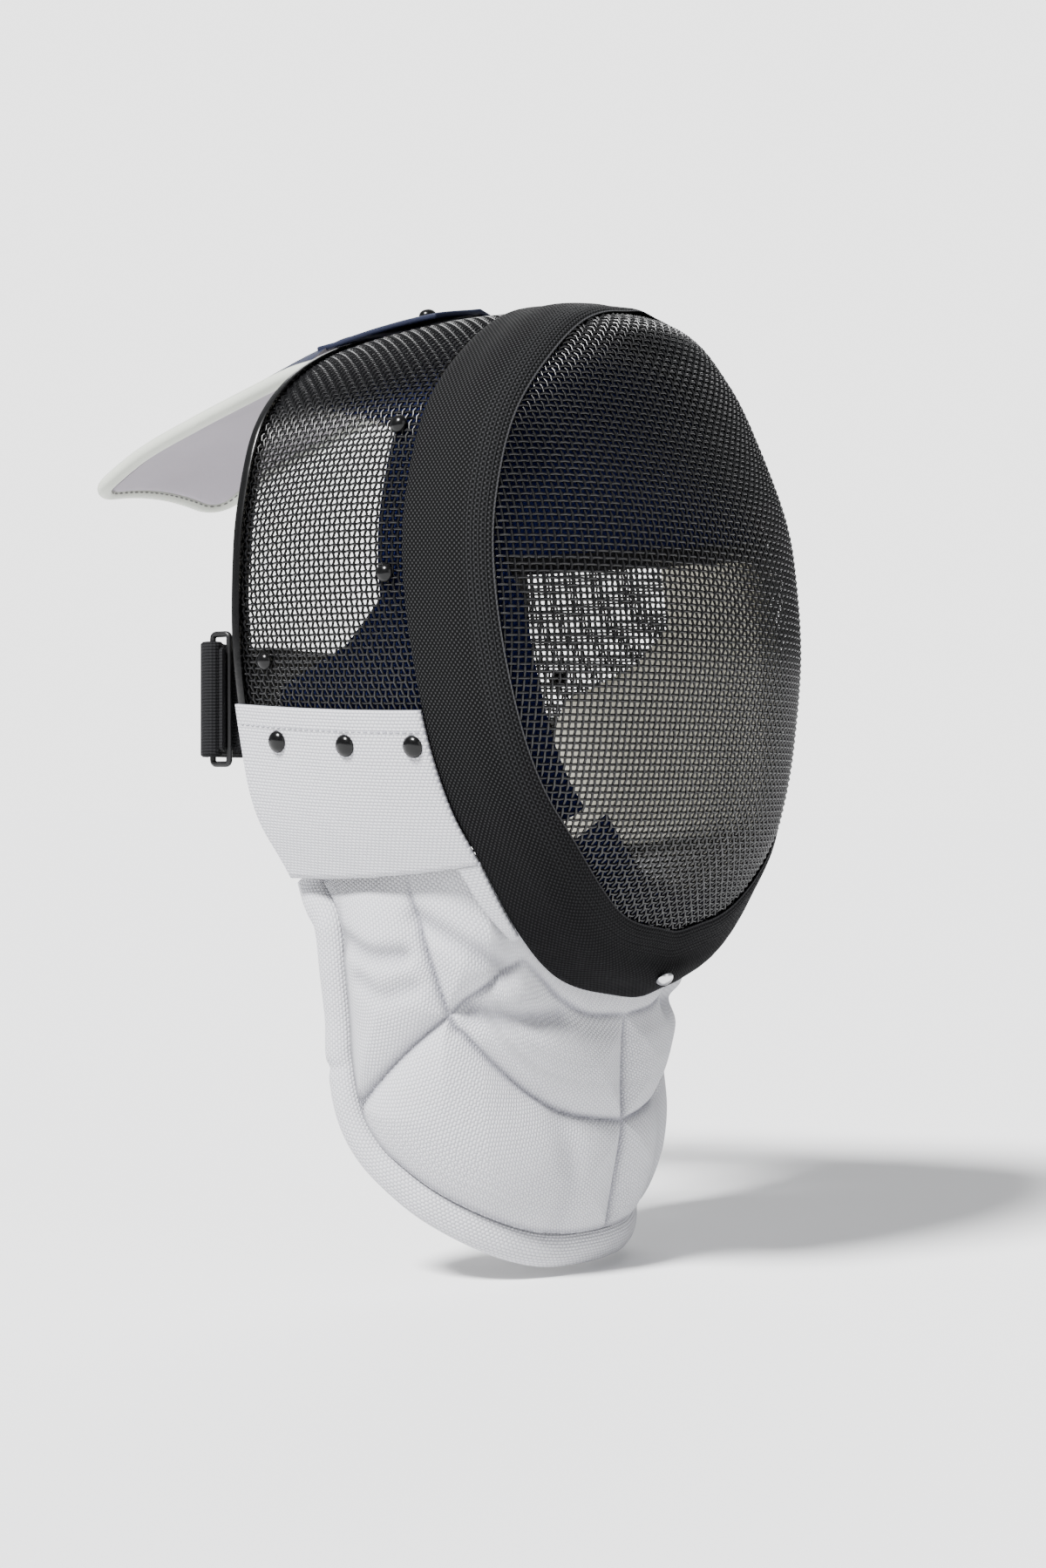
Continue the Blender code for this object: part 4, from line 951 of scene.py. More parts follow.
# %% Sections, seams and folds of the bib
BIB_DROP = 0.164
BIB_HALF_WIDTH = 0.084
BIB_DEPTH = 0.088
BIB_THICKNESS = 0.0055
QUILT_HEIGHT = 0.0068
QUILT_REACH = 0.0085
BIB_TOP_LAP = 0.004
BIB_TOP_BLEND = 0.012
BIB_CORNER_INSET = 0.006
HEM_WIDTH = 0.0135
HEM_THICKNESS = 0.0085
BIB_SECTIONS = (
    # level, half, back, front, square
    (0.00, 1.000, 0.760, -0.230, 3.0),
    (0.22, 0.980, 0.735, -0.190, 2.7),
    (0.40, 0.950, 0.720, -0.115, 2.4),
    (0.56, 0.930, 0.720, -0.100, 2.2),
    (0.68, 0.900, 0.710, -0.100, 2.1),
    (0.86, 0.830, 0.660, -0.034, 2.0),
    (1.00, 0.770, 0.610, 0.010, 2.0),
)
BIB_EDGE = (
    # turn, level
    (0.00, 0.560), (0.03, 0.690), (0.08, 0.765), (0.16, 0.820), (0.28, 0.880),
    (0.44, 0.935), (0.60, 0.975), (0.75, 0.995), (1.00, 1.000),
)
BIB_SEAMS = (
    ((0.20, -0.02), (0.26, 0.16), (0.355, 0.38), (0.41, 0.43), (0.50, 0.50), (0.60, 0.565), (0.72, 0.615),
     (0.86, 0.64), (1.00, 0.655)),
    ((0.03, 0.60), (0.20, 0.48), (0.355, 0.38), (0.46, 0.31), (0.555, 0.25)),
    ((0.555, 0.25), (0.62, 0.30), (0.70, 0.35), (0.82, 0.39), (1.00, 0.40)),
    ((1.00, 0.40), (0.995, 0.65), (1.00, 1.00)),
)
BIB_FOLDS = (
    # places, depth, width
    (((0.26, 0.15), (0.37, 0.20), (0.49, 0.26)), 0.0034, 0.0042),
    (((0.03, 0.21), (0.12, 0.24), (0.22, 0.24)), 0.0034, 0.0042),
    (((0.08, 0.30), (0.16, 0.33), (0.25, 0.31)), 0.0020, 0.0042),
    (((0.42, 0.37), (0.56, 0.385), (0.70, 0.39)), 0.0048, 0.0055),
    (((0.70, 0.62), (0.74, 0.75), (0.72, 0.90)), 0.0014, 0.006),
)
print("seams of the bib:", len(BIB_SEAMS))


# %% [markdown]
# A real bib is cut flat and sewn round a form. Here its face is a stack of rounded sections, and a point
# is a turn and a level. A padded piece needs two faces, so another helper joins an outer and an inner grid.

# %% The bib's face
class Bib:
    def __init__(self):
        self.top = RIM_ABOVE_SEAT - RIM[CORNER_ROW][0] * RIM_HEIGHT
        table = smooth_rows(BIB_SECTIONS, 10)
        self.levels = table[:, 0]
        self.sections = table[:, 1:]
        self.edge = smooth_rows(BIB_EDGE, 10)

    def point(self, turn, level):
        half, back, front, square = [np.interp(level, self.levels, self.sections[:, k]) for k in range(4)]
        half, back, front = half * BIB_HALF_WIDTH, back * BIB_DEPTH, front * BIB_DEPTH
        angle = np.asarray(turn) * math.pi / 2
        rounding = (np.abs(np.cos(angle)) ** square + np.abs(np.sin(angle)) ** square) ** (-1.0 / square)
        x = -half * rounding * np.cos(angle)
        y = -RIM_AHEAD_OF_SEAT + back - (back - front) * rounding * np.sin(angle)
        return np.stack([x, y, self.top - level * BIB_DROP + 0 * x], axis=-1)

    def place(self, point):
        level = (self.top - point[2]) / BIB_DROP
        half, back, front = [np.interp(level, self.levels, self.sections[:, k]) for k in range(3)]
        across = abs(point[0]) / (half * BIB_HALF_WIDTH)
        ahead = (back * BIB_DEPTH - RIM_AHEAD_OF_SEAT - point[1]) / ((back - front) * BIB_DEPTH)
        return math.atan2(ahead, across) / (math.pi / 2), level

    def line(self, places):
        fine = smooth_rows(places, 8)
        return self.point(fine[:, 0], fine[:, 1])


def distance_to(points, line):
    """The distance of each point from a line of points."""
    start = line[:-1]
    step = line[1:] - start
    offset = points[..., None, :] - start
    squared = np.maximum(np.sum(step * step, axis=-1), 1e-18)
    share = np.clip(np.sum(offset * step, axis=-1) / squared, 0.0, 1.0)
    return np.linalg.norm(offset - step * share[..., None], axis=-1).min(axis=-1)


def rounded_border(grid, border):
    """0 on the border of a grid and 1 inside it, rising as a quarter of a circle."""
    edge = np.vstack([grid[0], grid[:, -1], grid[-1, ::-1], grid[::-1, 0]])
    share = np.clip(distance_to(grid, edge) / border, 0.0, 1.0)
    return np.sqrt(np.clip(1.0 - (1.0 - share) ** 2, 0.0, 1.0))


def two_faced(name, outer, inner, outer_finish, inner_finish, shade=None):
    """A closed body between two grids that share their border. A shade, kept as the attribute seam, paints
    shade on the outer face where it dips.
    """
    mesh = grid_mesh(name, outer, outer_finish)
    other = grid_mesh(name + "_inner", inner, outer_finish)
    if shade is not None:
        # The seam attribute carries painted shade for the outer face; the inner face gets none.
        painted_shade_depth = np.clip(shade, 0.0, 1.0).ravel()
        mesh.attributes.new("seam", "FLOAT", "POINT").data.foreach_set("value", painted_shade_depth)
        other.attributes.new("seam", "FLOAT", "POINT")
    outer_faces = len(mesh.polygons)
    working = bmesh.new()
    working.from_mesh(mesh)
    working.from_mesh(other)
    working.to_mesh(mesh)
    working.free()
    mesh.materials.append(inner_finish.material)
    slots = np.zeros(len(mesh.polygons), dtype=np.int32)
    slots[outer_faces:] = 1
    mesh.polygons.foreach_set("material_index", slots)
    facing_out(mesh)
    return mesh


bib = Bib()


def bib_top():
    under = -MESH_THICKNESS - PANEL_THICKNESS - 4 * CLEARANCE
    points = []
    corner_reach = face.side_reach[UPPER] - PANEL_TURN_IN
    for share in np.linspace(0.0, 1.0, 12)[:-1]:
        points.append(face.row(corner_reach + (TRIM_WIDTH / 2 - corner_reach) * share, under)[UPPER])
    front = face.row(TRIM_WIDTH / 2 - BIB_TOP_LAP, under)
    points += list(front[UPPER:UPPER + LOWER + 1:FINE])
    return np.array(points)


def bib_grid(columns, rows):
    edge = bib_top()
    places = np.array([bib.place(point) for point in edge])
    edge_turns = np.maximum.accumulate(np.clip(places[:, 0], 0.0, 1.0)) + np.arange(len(edge)) * 1e-6
    turns = np.linspace(0.0, 1.0, columns)
    top = between(turns, edge_turns, edge)
    start = np.interp(turns, edge_turns, places[:, 1])
    stop = np.interp(turns, bib.edge[:, 0], bib.edge[:, 1]) - HEM_WIDTH / BIB_DROP
    first_gap = top - bib.point(turns, start)
    grid = []
    for share in np.linspace(0.0, 1.0, rows):
        level = start + (stop - start) * share
        fade = np.exp(-((level - start) * BIB_DROP / BIB_TOP_BLEND) ** 2)[:, None]
        grid.append(bib.point(turns, level) + first_gap * fade)
    right = np.array(grid)
    under = -MESH_THICKNESS - PANEL_THICKNESS - 6 * CLEARANCE
    corner = face.row(face.side_reach - BIB_CORNER_INSET, under)[UPPER]
    pull_down = np.exp(-(np.linspace(0.0, 1.0, rows) / 0.15) ** 2)
    pull_round = np.exp(-(turns / 0.09) ** 2)
    right = right + (corner - right[0, 0]) * (pull_down[:, None] * pull_round[None, :])[..., None]
    return np.concatenate([right, mirrored(right[:, -2::-1])], axis=1)


# %% [markdown]
# Quilting pulls two layers together at each seam and lets them swell between. A height from the distance
# to the nearest seam gives that directly, where a cloth simulation would let the seams drift.
# The same distance, kept as an attribute together with the folds and a band along the hem, paints shade into
# the cloth where it dips.

# %% Quilt the bib
def outward(grid):
    along = np.gradient(grid, axis=0)
    around = np.gradient(grid, axis=1)
    normal = unit(np.cross(along, around))
    middle = np.array([0.0, 0.0, grid[..., 2].mean()])
    return normal * np.sign(np.sum(normal * (grid - middle), axis=-1, keepdims=True))


def quilted(grid):
    rim = np.vstack([grid[:, 0], grid[-1, 1:-1], grid[::-1, -1]])
    nearest = distance_to(grid, rim[::3])
    groove = np.zeros(grid.shape[:2])
    for seam in BIB_SEAMS:
        line = bib.line(seam)
        for side in (line, mirrored(line)):
            gap = distance_to(grid, side)
            nearest = np.minimum(nearest, gap)
            groove = np.maximum(groove, np.exp(-(gap / 0.0013) ** 2))
    height = QUILT_HEIGHT * (1.0 - np.exp(-nearest / QUILT_REACH)) - 0.0008 * groove
    # Painted shade in the seam grooves and in a band along the rolled hem.
    shade = np.maximum(groove, 0.8 * np.exp(-(distance_to(grid, rim[::3]) / 0.0022) ** 2))
    for places, depth, width in BIB_FOLDS:
        line = bib.line(places)
        for side in (line, mirrored(line)):
            fold = np.exp(-(distance_to(grid, side) / width) ** 2)
            height = height - depth * fold
            # Painted shade along each fold, darker for deeper folds.
            shade = np.maximum(shade, 150.0 * depth * fold ** 2)
    fade = np.clip(np.linspace(0.0, 4.0, len(grid)), 0.0, 1.0)[:, None]
    return grid + outward(grid) * (height * fade)[..., None], shade


plain_bib = bib_grid(130, 130)
bib_outer, bib_painted_shade = quilted(plain_bib)
bib_inner = plain_bib - outward(plain_bib) * BIB_THICKNESS
bib_share = rounded_border(plain_bib, 0.005)[..., None]
bib_inner = bib_outer * (1.0 - bib_share) + bib_inner * bib_share
bib_mesh = two_faced("quilted_bib", bib_outer, bib_inner, white_cloth, white_cloth, bib_painted_shade)
quilted_bib = new_piece("quilted_bib", bib_mesh)
hand_over(quilted_bib, "cloth_white", "bib")

# %% [markdown]
# The free edges of the bib end in a fat rolled hem. It is an oval swept along the edge, with small
# puckers where the cloth was gathered round the roll.

# %% The rolled hem
def make_hem(grid):
    first = 1
    right_edge, left_edge, bottom = grid[first:, 0], grid[first:, -1], grid[-1]
    route = np.vstack([right_edge, bottom[1:-1], left_edge[::-1]])
    inward = np.vstack([grid[first:, 1] - right_edge, grid[-2, 1:-1] - bottom[1:-1],
                        (grid[first:, -2] - left_edge)[::-1]])
    arcs = arc_lengths(route)
    even = np.linspace(0.0, arcs[-1], 360)
    route, inward = between(even, arcs, route), between(even, arcs, inward)
    for _ in range(6):
        route[1:-1] = (route[:-2] + 2 * route[1:-1] + route[2:]) / 4
        inward[1:-1] = (inward[:-2] + 2 * inward[1:-1] + inward[2:]) / 4
    tangent = unit(np.gradient(route, axis=0))
    inward = unit(inward - tangent * np.sum(inward * tangent, axis=1, keepdims=True))
    off = unit(np.cross(tangent, inward))
    off *= np.sign(np.sum(off * (route - np.array([0.0, 0.0, grid[..., 2].mean()])), axis=1, keepdims=True))
    centre = route - inward * (HEM_WIDTH / 2 + CLEARANCE) - off * BIB_THICKNESS / 2
    turn = np.linspace(0.0, math.tau, 24, endpoint=False)
    gather = 1.0 + 0.035 * np.sin(even / 0.0031) * np.sin(even / 0.0173)
    rings = (centre[:, None] + inward[:, None] * (np.cos(turn) * HEM_WIDTH / 2)[None, :, None]
             + off[:, None] * ((np.sin(turn) * HEM_THICKNESS / 2)[None, :] * gather[:, None])[..., None])
    mesh = grid_mesh("rolled_hem", rings, white_cloth, wrap_columns=True, caps=True)
    facing_out(mesh)
    return new_piece("rolled_hem", mesh)


hand_over(make_hem(plain_bib), "cloth_white", "bib_hem")

# %% [markdown]
# ## Stitches
# Sewn seams show as a line of short threads. A Geometry Nodes tree walks along each seam and sets a
# small oval bead at every stitch, turned along the line. The pitch and the bead's size are inputs.

# %% The tree that stitches a line
stitching = Recipe("stitches")
stitch_pitch = stitching.named("Pitch", "NodeSocketFloat", 0.003)
stitch_size = stitching.named("Size", "NodeSocketVector", (0.0011, 0.00035, 0.00035))
stitch_curve = stitching.node("GeometryNodeMeshToCurve", {}, {"Mesh": stitching.start.outputs["Geometry"]})
stitch_walk = stitching.node("GeometryNodeResampleCurve", {"mode": "LENGTH"},
                             {"Curve": stitch_curve[0], "Length": stitch_pitch})
stitch_bead = stitching.node("GeometryNodeMeshUVSphere", {}, {"Segments": 8, "Rings": 5, "Radius": 1.0})
stitch_tangent = stitching.node("GeometryNodeInputTangent", {}, {})[0]
stitch_turn = stitching.node("FunctionNodeAlignRotationToVector", {"axis": "X"},
                             {"Vector": stitch_tangent})[0]
stitch_set = stitching.node("GeometryNodeInstanceOnPoints", {},
                            {"Points": stitch_walk[0], "Instance": stitch_bead[0],
                             "Rotation": stitch_turn, "Scale": stitch_size})
stitching.close(stitch_set[0])


def line_mesh(name, lines):
    points, edges = [], []
    for line in lines:
        start = len(points)
        points += [tuple(point) for point in line]
        edges += [(start + index, start + index + 1) for index in range(len(line) - 1)]
    mesh = bpy.data.meshes.new(name)
    mesh.from_pydata(points, edges, [])
    return mesh


# %% [markdown]
# A row of stitches runs below the folded top edge of each white panel, from the trim to the rear edge.
# It lies a little above the cloth's face, so that every bead shows.

# %% Stitch the panels
STITCH_BELOW_TOP = 0.0075


def panel_stitch_lines():
    down = PANEL_TOP_DOWN + STITCH_BELOW_TOP
    station = int(round(face.station_at(down)))
    reaches = np.linspace(TRIM_WIDTH / 2 + 0.003, float(face.side_reach[station]) - 0.002, 40)
    lift = CLEARANCE + PANEL_THICKNESS + 0.0003
    line = np.array([face.row(reach, lift)[station] for reach in reaches])
    return [line, mirrored(line)]


panel_stitches = stitching.make("panel_stitches", line_mesh("panel_lines", panel_stitch_lines()),
                                {"Pitch": 0.0029, "Finish": white_cloth.material})
hand_over(panel_stitches, "cloth_white")


# %% [markdown]
# ## Pads of the lining
# The pads inside are foam covered with knit. Each is a pillow: an outer face that lies on the mesh and
# an inner face that stands off it and comes back to it along a rounded border.

# %% A pillow from a grid
PAD_THICKNESS = 0.008
PAD_STANDOFF = 0.0009
PAD_SPACING = 0.004


def pillow(name, grid, thickness, outer_finish, inner_finish, middle, border=0.006):
    """A closed pad. Its outer face is the grid and its inner face lies towards the middle."""
    along = np.gradient(grid, axis=0)
    around = np.gradient(grid, axis=1)
    normal = unit(np.cross(along, around))
    inward = -np.sign(np.sum(normal * (grid - np.array(middle)), axis=-1).mean())
    depth = thickness * rounded_border(grid, border)
    return two_faced(name, grid, grid + normal * inward * depth[..., None], outer_finish, inner_finish)


def both_sides(name, mesh, slot):
    """Hands over the right pad and its mirror image."""
    other = mesh.copy()
    other.transform(((-1, 0, 0, 0), (0, 1, 0, 0), (0, 0, 1, 0), (0, 0, 0, 1)))
    other.flip_normals()
    for label, data in (("right", mesh), ("left", other)):
        piece = new_piece(f"{name}_{label}_soft", data)
        hand_over(piece, slot, f"{name}_{label}")


# %% [markdown]
# A cheek pad is cut round the ear: narrow beside it, with a lobe to the rear edge below. One width for
# each station round the rim draws that outline, and smoothing rounds what steps are left.

# %% Cheek pads
BROW_DOWN = 0.100
LINER_FRONT_REACH = 0.029
EAR_TOP_DOWN = 0.045
EAR_FRONT = 0.033


def make_cheek():
    lift = -MESH_THICKNESS - PAD_STANDOFF
    low = int(face.station_at(BROW_DOWN) / FINE) * FINE
    first = (math.ceil(face.station_at(BROW_DOWN) / FINE) + 1) * FINE
    stations = slice(low, UPPER + 1)
    place = np.arange(low, UPPER + 1)
    rear = np.full(len(face.rim), EAR_FRONT)
    lobe = np.interp((place - first) / FINE, (0, 1, 2, 3), (0.0, 0.3, 0.9, 1.0))
    rear[stations] += (face.side_reach[stations] - PANEL_TURN_IN - PAD_SPACING - EAR_FRONT) * lobe
    front = np.full(len(face.rim), -LINER_FRONT_REACH)
    front[stations] = np.interp(place, (low, first), (-0.014, -LINER_FRONT_REACH))
    rows = []
    for share in np.linspace(0.0, 1.0, 46):
        rows.append(face.row(front + (rear - front) * share, lift)[stations][:-4])
    grid = np.array(rows)
    for _ in range(8):
        grid[1:-1] = (grid[:-2] + 2 * grid[1:-1] + grid[2:]) / 4
    return pillow("cheek_pad", grid, PAD_THICKNESS, lining_navy, lining_cream, HEAD_MIDDLE)


both_sides("cheek_pad", make_cheek(), "lining_navy")

# %% [markdown]
# The chin pad is a thinner strip round the lower rim, from cheek to cheek. It stands a little farther
# off the wire than the cheek pads do.

# %% Chin pad
CHIN_PAD_THICKNESS = 0.004
CHIN_PAD_STANDOFF = 0.0023
CHIN_PAD_FRONT = 0.036
CHIN_PAD_REAR = 0.008


def make_chin():
    first = UPPER + 4
    last = 2 * (UPPER + LOWER) - first
    rows = []
    for reach in np.linspace(-CHIN_PAD_FRONT, CHIN_PAD_REAR, 24):
        rows.append(face.row(reach, -MESH_THICKNESS - CHIN_PAD_STANDOFF)[first:last + 1:2])
    return pillow("chin_pad_soft", np.array(rows), CHIN_PAD_THICKNESS, lining_navy, lining_cream,
                  HEAD_MIDDLE, 0.004)


chin_pad = new_piece("chin_pad_soft", make_chin())
hand_over(chin_pad, "lining_navy", "chin_pad")

# %% [markdown]
# The crown pad lines the top of the side mesh. It is the same pillow on other stations, with its rear
# edge drawn in where the ear windows start.

# %% Crown pad
def make_crown():
    lift = -MESH_THICKNESS - PAD_STANDOFF
    top = int(round(face.station_at(EAR_TOP_DOWN) / FINE)) * FINE
    low = int(face.station_at(BROW_DOWN) / FINE) * FINE
    count = len(face.rim)
    turn = np.minimum(np.arange(count), count - np.arange(count))
    wide = 1.0 - np.clip((turn - top) / FINE, 0.0, 1.0)
    rear = EAR_FRONT + (face.side_reach - PANEL_TURN_IN - EAR_FRONT) * wide
    front = TRIM_WIDTH / 2 + PAD_SPACING / 2
    rows = []
    for share in np.linspace(0.0, 1.0, 34):
        row = face.row(front + (rear - front) * share, lift)
        rows.append(np.vstack([row[-low:], row[:low + 1]])[::2])
    return pillow("crown_pad_soft", np.array(rows), PAD_THICKNESS, lining_navy, lining_cream, HEAD_MIDDLE)


crown_pad = new_piece("crown_pad_soft", make_crown())
hand_over(crown_pad, "lining_navy", "crown_pad")

# %% [markdown]
# The forehead pad hangs from the crown like a short curtain, just inside the bowl. Its lower edge is
# bound with a black tape, which shows through the wires above the wearer's eyes.

# %% Forehead pad and its bound edge
BROW_DEPTH = 0.025
BROW_TILT = 0.020


def brow_grid():
    lift = -MESH_THICKNESS - PAD_STANDOFF
    low = int(face.station_at(BROW_DOWN) / FINE) * FINE
    index = np.concatenate([np.arange(-low, 0), np.arange(0, low + 1)])[::2]
    back = face.row(TRIM_WIDTH / 2 - PAD_SPACING / 2, lift)[index]
    front = face.row(-TRIM_WIDTH / 2 * 0.8, lift)[index]
    turn = np.linspace(1.0, -1.0, len(index)) * math.pi / 2
    half = abs(front[0, 0]) - 2 * CLEARANCE
    brow = np.stack([half * np.sin(turn), front[0, 1] - BROW_DEPTH * np.cos(turn),
                     RIM_ABOVE_SEAT - BROW_DOWN + np.sin(turn) * BROW_TILT / 2], axis=1)
    return np.array([back * (1 - s) ** 2 + front * 2 * s * (1 - s) + brow * s ** 2
                     for s in np.linspace(0.0, 1.0, 50)])


forehead_grid = brow_grid()
forehead_pad = new_piece("forehead_pad_soft", pillow("forehead_pad_soft", forehead_grid, PAD_THICKNESS,
                                                     lining_navy, lining_cream, HEAD_MIDDLE))
hand_over(forehead_pad, "lining_navy", "forehead_pad")


def tape_on(name, line, finish, width, height):
    """A soft oval tape along a line."""
    tangent = unit(np.gradient(line, axis=0))
    up = np.array([0.0, 0.0, 1.0]) - tangent * tangent[:, 2:]
    up = unit(up)
    across = unit(np.cross(tangent, up))
    turn = np.linspace(0.0, math.tau, 16, endpoint=False)
    profile = np.stack([np.cos(turn) * width / 2, np.sin(turn) * height / 2], axis=1)
    return swept(name, finish, profile, line, across, up)


TAPE_WIDTH = 0.0045
TAPE_HEIGHT = 0.0070
brow_line = forehead_grid[-1] + np.array([0.0, 0.001, 0.001])
brow_tape = tape_on("brow_tape", brow_line, strap_elastic, TAPE_WIDTH, TAPE_HEIGHT)
hand_over(brow_tape, "elastic_black")

# %% [markdown]
# ## The tongue
# A sprung tongue reaches back over the head and grips it. Its pad is navy above and mauve-grey below,
# with a fat vinyl roll round the edge, and a cloth-covered spring strip rivets it to the crown.

# %% The tongue's face
TONGUE_WIDTH = 0.086
TONGUE_LENGTH = 0.126
TONGUE_DROP = 0.057
TONGUE_THICKNESS = 0.0075
TONGUE_ROLL = 0.0062
TONGUE_SOFT = 0.0058
TONGUE_CORNER = 0.016
TONGUE_GAP = 0.0018
STRIP_THICKNESS = 0.0022
STRIP_WIDTH = 0.062
STRIP_REACH = 0.052
TONGUE_LINE = (
    # along, drop, sag to each side
    (0.00, 0.00, 0.215),
    (0.10, 0.08, 0.180),
    (0.24, 0.21, 0.150),
    (0.50, 0.43, 0.120),
    (0.76, 0.67, 0.095),
    (1.00, 1.00, 0.070),
)


class Tongue:
    def __init__(self):
        table = smooth_rows(TONGUE_LINE, 12)
        rear = face.row(face.side_reach)[0]
        lift = BINDING_WALL + 2 * CLEARANCE + STRIP_THICKNESS - TONGUE_THICKNESS / 2
        y = rear[1] + CLEARANCE + BINDING_WALL + TONGUE_GAP + table[:, 0] * TONGUE_LENGTH
        z = rear[2] + lift - table[:, 1] * TONGUE_DROP
        self.middle = np.stack([0 * y, y, z], axis=1)
        self.sags = table[:, 2] * TONGUE_WIDTH
        self.lengths = arc_lengths(self.middle)
        self.headings = unit(np.gradient(self.middle, axis=0))

    def point(self, along, across, lift=0.0):
        middle = between(along, self.lengths, self.middle)
        heading = between(along, self.lengths, self.headings)
        half = TONGUE_WIDTH / 2
        sag = np.interp(along, self.lengths, self.sags)
        slope = 2 * sag * across / half ** 2
        normal = unit(np.array([slope * heading[1], -heading[2], heading[1]]))
        return middle + np.array([across, 0.0, -sag * (across / half) ** 2]) + normal * lift

    def outline(self, inset, straight_points, corner_points):
        radius = TONGUE_CORNER - inset
        stop = self.lengths[-1] - inset
        turn = np.linspace(0.0, math.pi / 2, corner_points)
        straight = np.linspace(0.0, stop - radius, straight_points, endpoint=False)
        along = np.concatenate([straight, stop - radius + radius * np.sin(turn)])
        half = np.full(len(along), TONGUE_WIDTH / 2 - inset)
        half[-len(turn):] -= radius * (1.0 - np.cos(turn))
        return along, half


tongue = Tongue()

# %% [markdown]
# The pad is a pillow with rounded rear corners. Its vinyl roll is a tube swept round three sides, with
# one line of grey stitches above and another below.

# %% The tongue's pad and roll
def make_tongue_pad():
    rows = []
    for along, half in zip(*tongue.outline(TONGUE_ROLL * 0.75, 40, 9)):
        rows.append([tongue.point(along, x, TONGUE_SOFT / 2) for x in np.linspace(-half, half, 33)])
    middle = tongue.middle.mean(axis=0) - np.array([0.0, 0.0, 0.5])
    return pillow("tongue_pad_soft", np.array(rows), TONGUE_SOFT, tongue_navy, tongue_grey, middle, 0.004)


tongue_pad = new_piece("tongue_pad_soft", make_tongue_pad())
hand_over(tongue_pad, "tongue_lining", "tongue_pad")


def make_tongue_roll():
    along, half = tongue.outline(TONGUE_ROLL / 2, 60, 13)
    places = list(zip(along, -half))
    places += [(along[-1], x) for x in np.linspace(-half[-1], half[-1], 20)[1:-1]]
    places += list(zip(along, half))[::-1]
    route = np.array([tongue.point(*place) for place in places])
    lifted = np.array([tongue.point(*place, TONGUE_ROLL) for place in places])
    side = unit(np.cross(np.gradient(route, axis=0), lifted - route))
    up = unit(np.cross(side, np.gradient(route, axis=0)))
    turn = np.linspace(0.0, math.tau, 20, endpoint=False)
    profile = np.stack([np.cos(turn), np.sin(turn)], axis=1) * TONGUE_ROLL / 2
    stitch_line = route + up * TONGUE_ROLL * 0.36 + side * TONGUE_ROLL * 0.36
    other_line = route - up * TONGUE_ROLL * 0.36 + side * TONGUE_ROLL * 0.36
    return swept("tongue_roll", edge_vinyl, profile, route, side, up), [stitch_line, other_line]


tongue_roll, roll_lines = make_tongue_roll()
hand_over(tongue_roll, "vinyl_cream", "tongue_binding")
roll_stitches = stitching.make("roll_stitches", line_mesh("roll_lines", roll_lines),
                               {"Pitch": 0.0032, "Finish": dark_thread.material})
hand_over(roll_stitches, "vinyl_cream")

# %% [markdown]
# A springy strip covered in navy cloth lies over the crown and carries the tongue. It follows the face
# at a height that clears the edging, so it is a sheet laid on the face and given a wall.

# %% The spring strip
def make_strip():
    rows = []
    base = CLEARANCE + BINDING_WALL + CLEARANCE
    for share in np.linspace(0.0, 1.0, 26):
        low = face.row(face.side_reach - STRIP_REACH * (1 - share), base)[:5 * FINE]
        across = np.linspace(-STRIP_WIDTH / 2, STRIP_WIDTH / 2, 33)
        y = np.interp(np.abs(across), np.abs(low[:, 0]), low[:, 1])
        z = np.interp(np.abs(across), np.abs(low[:, 0]), low[:, 2])
        rows.append(np.stack([across, y, z], axis=1))
    rows.append(rows[-1] + np.array([0.0, BINDING_WALL + TONGUE_GAP + 0.006, -0.001]))
    mesh = grid_mesh("spring_strip", np.array(rows), tongue_navy)
    facing_out(mesh, (0.0, 0.0, -RIM_HEIGHT))
    return new_piece("spring_strip", mesh)


spring_strip = make_strip()
add_wall(spring_strip, STRIP_THICKNESS)
strip_round = spring_strip.modifiers.new("round", "BEVEL")
strip_round.width = 0.0007
strip_round.segments = 2
hand_over(spring_strip, "tongue_navy", "tongue_strap")

# %% [markdown]
# ## Rivets
# One domed head is turned on a lathe and set at each rivet's place by Geometry Nodes, turned to face
# out. The places come from the plain rivets, so each head covers its own.

# %% A turned rivet head
def rivet_head():
    profile = [(0.0, 1.0), (0.25, 0.97), (0.5, 0.87), (0.72, 0.69), (0.88, 0.46), (0.97, 0.22),
               (1.0, 0.10), (0.97, 0.0), (0.0, 0.0)]
    turn = np.linspace(0.0, math.tau, 28, endpoint=False)
    rings = np.array([[(r * math.cos(a), r * math.sin(a), h) for a in turn] for r, h in profile[1:-1]])
    mesh = grid_mesh("rivet_head", rings, black_rivet, wrap_columns=True, caps=True)
    facing_out(mesh)
    return new_piece("rivet_head", mesh)


riveting = Recipe("rivets")
rivet_object = riveting.named("Head", "NodeSocketObject")
rivet_size = riveting.attribute("size", "FLOAT_VECTOR")
rivet_out = riveting.attribute("out", "FLOAT_VECTOR")
rivet_shape = riveting.node("GeometryNodeObjectInfo", {}, {"Object": rivet_object})["Geometry"]
rivet_turn = riveting.node("FunctionNodeAlignRotationToVector", {"axis": "Z"}, {"Vector": rivet_out})[0]
rivet_points = riveting.node("GeometryNodeMeshToPoints", {}, {"Mesh": riveting.start.outputs["Geometry"]})[0]
rivet_set = riveting.node("GeometryNodeInstanceOnPoints", {},
                          {"Points": rivet_points, "Instance": rivet_shape,
                           "Rotation": rivet_turn, "Scale": rivet_size})
riveting.close(rivet_set[0])


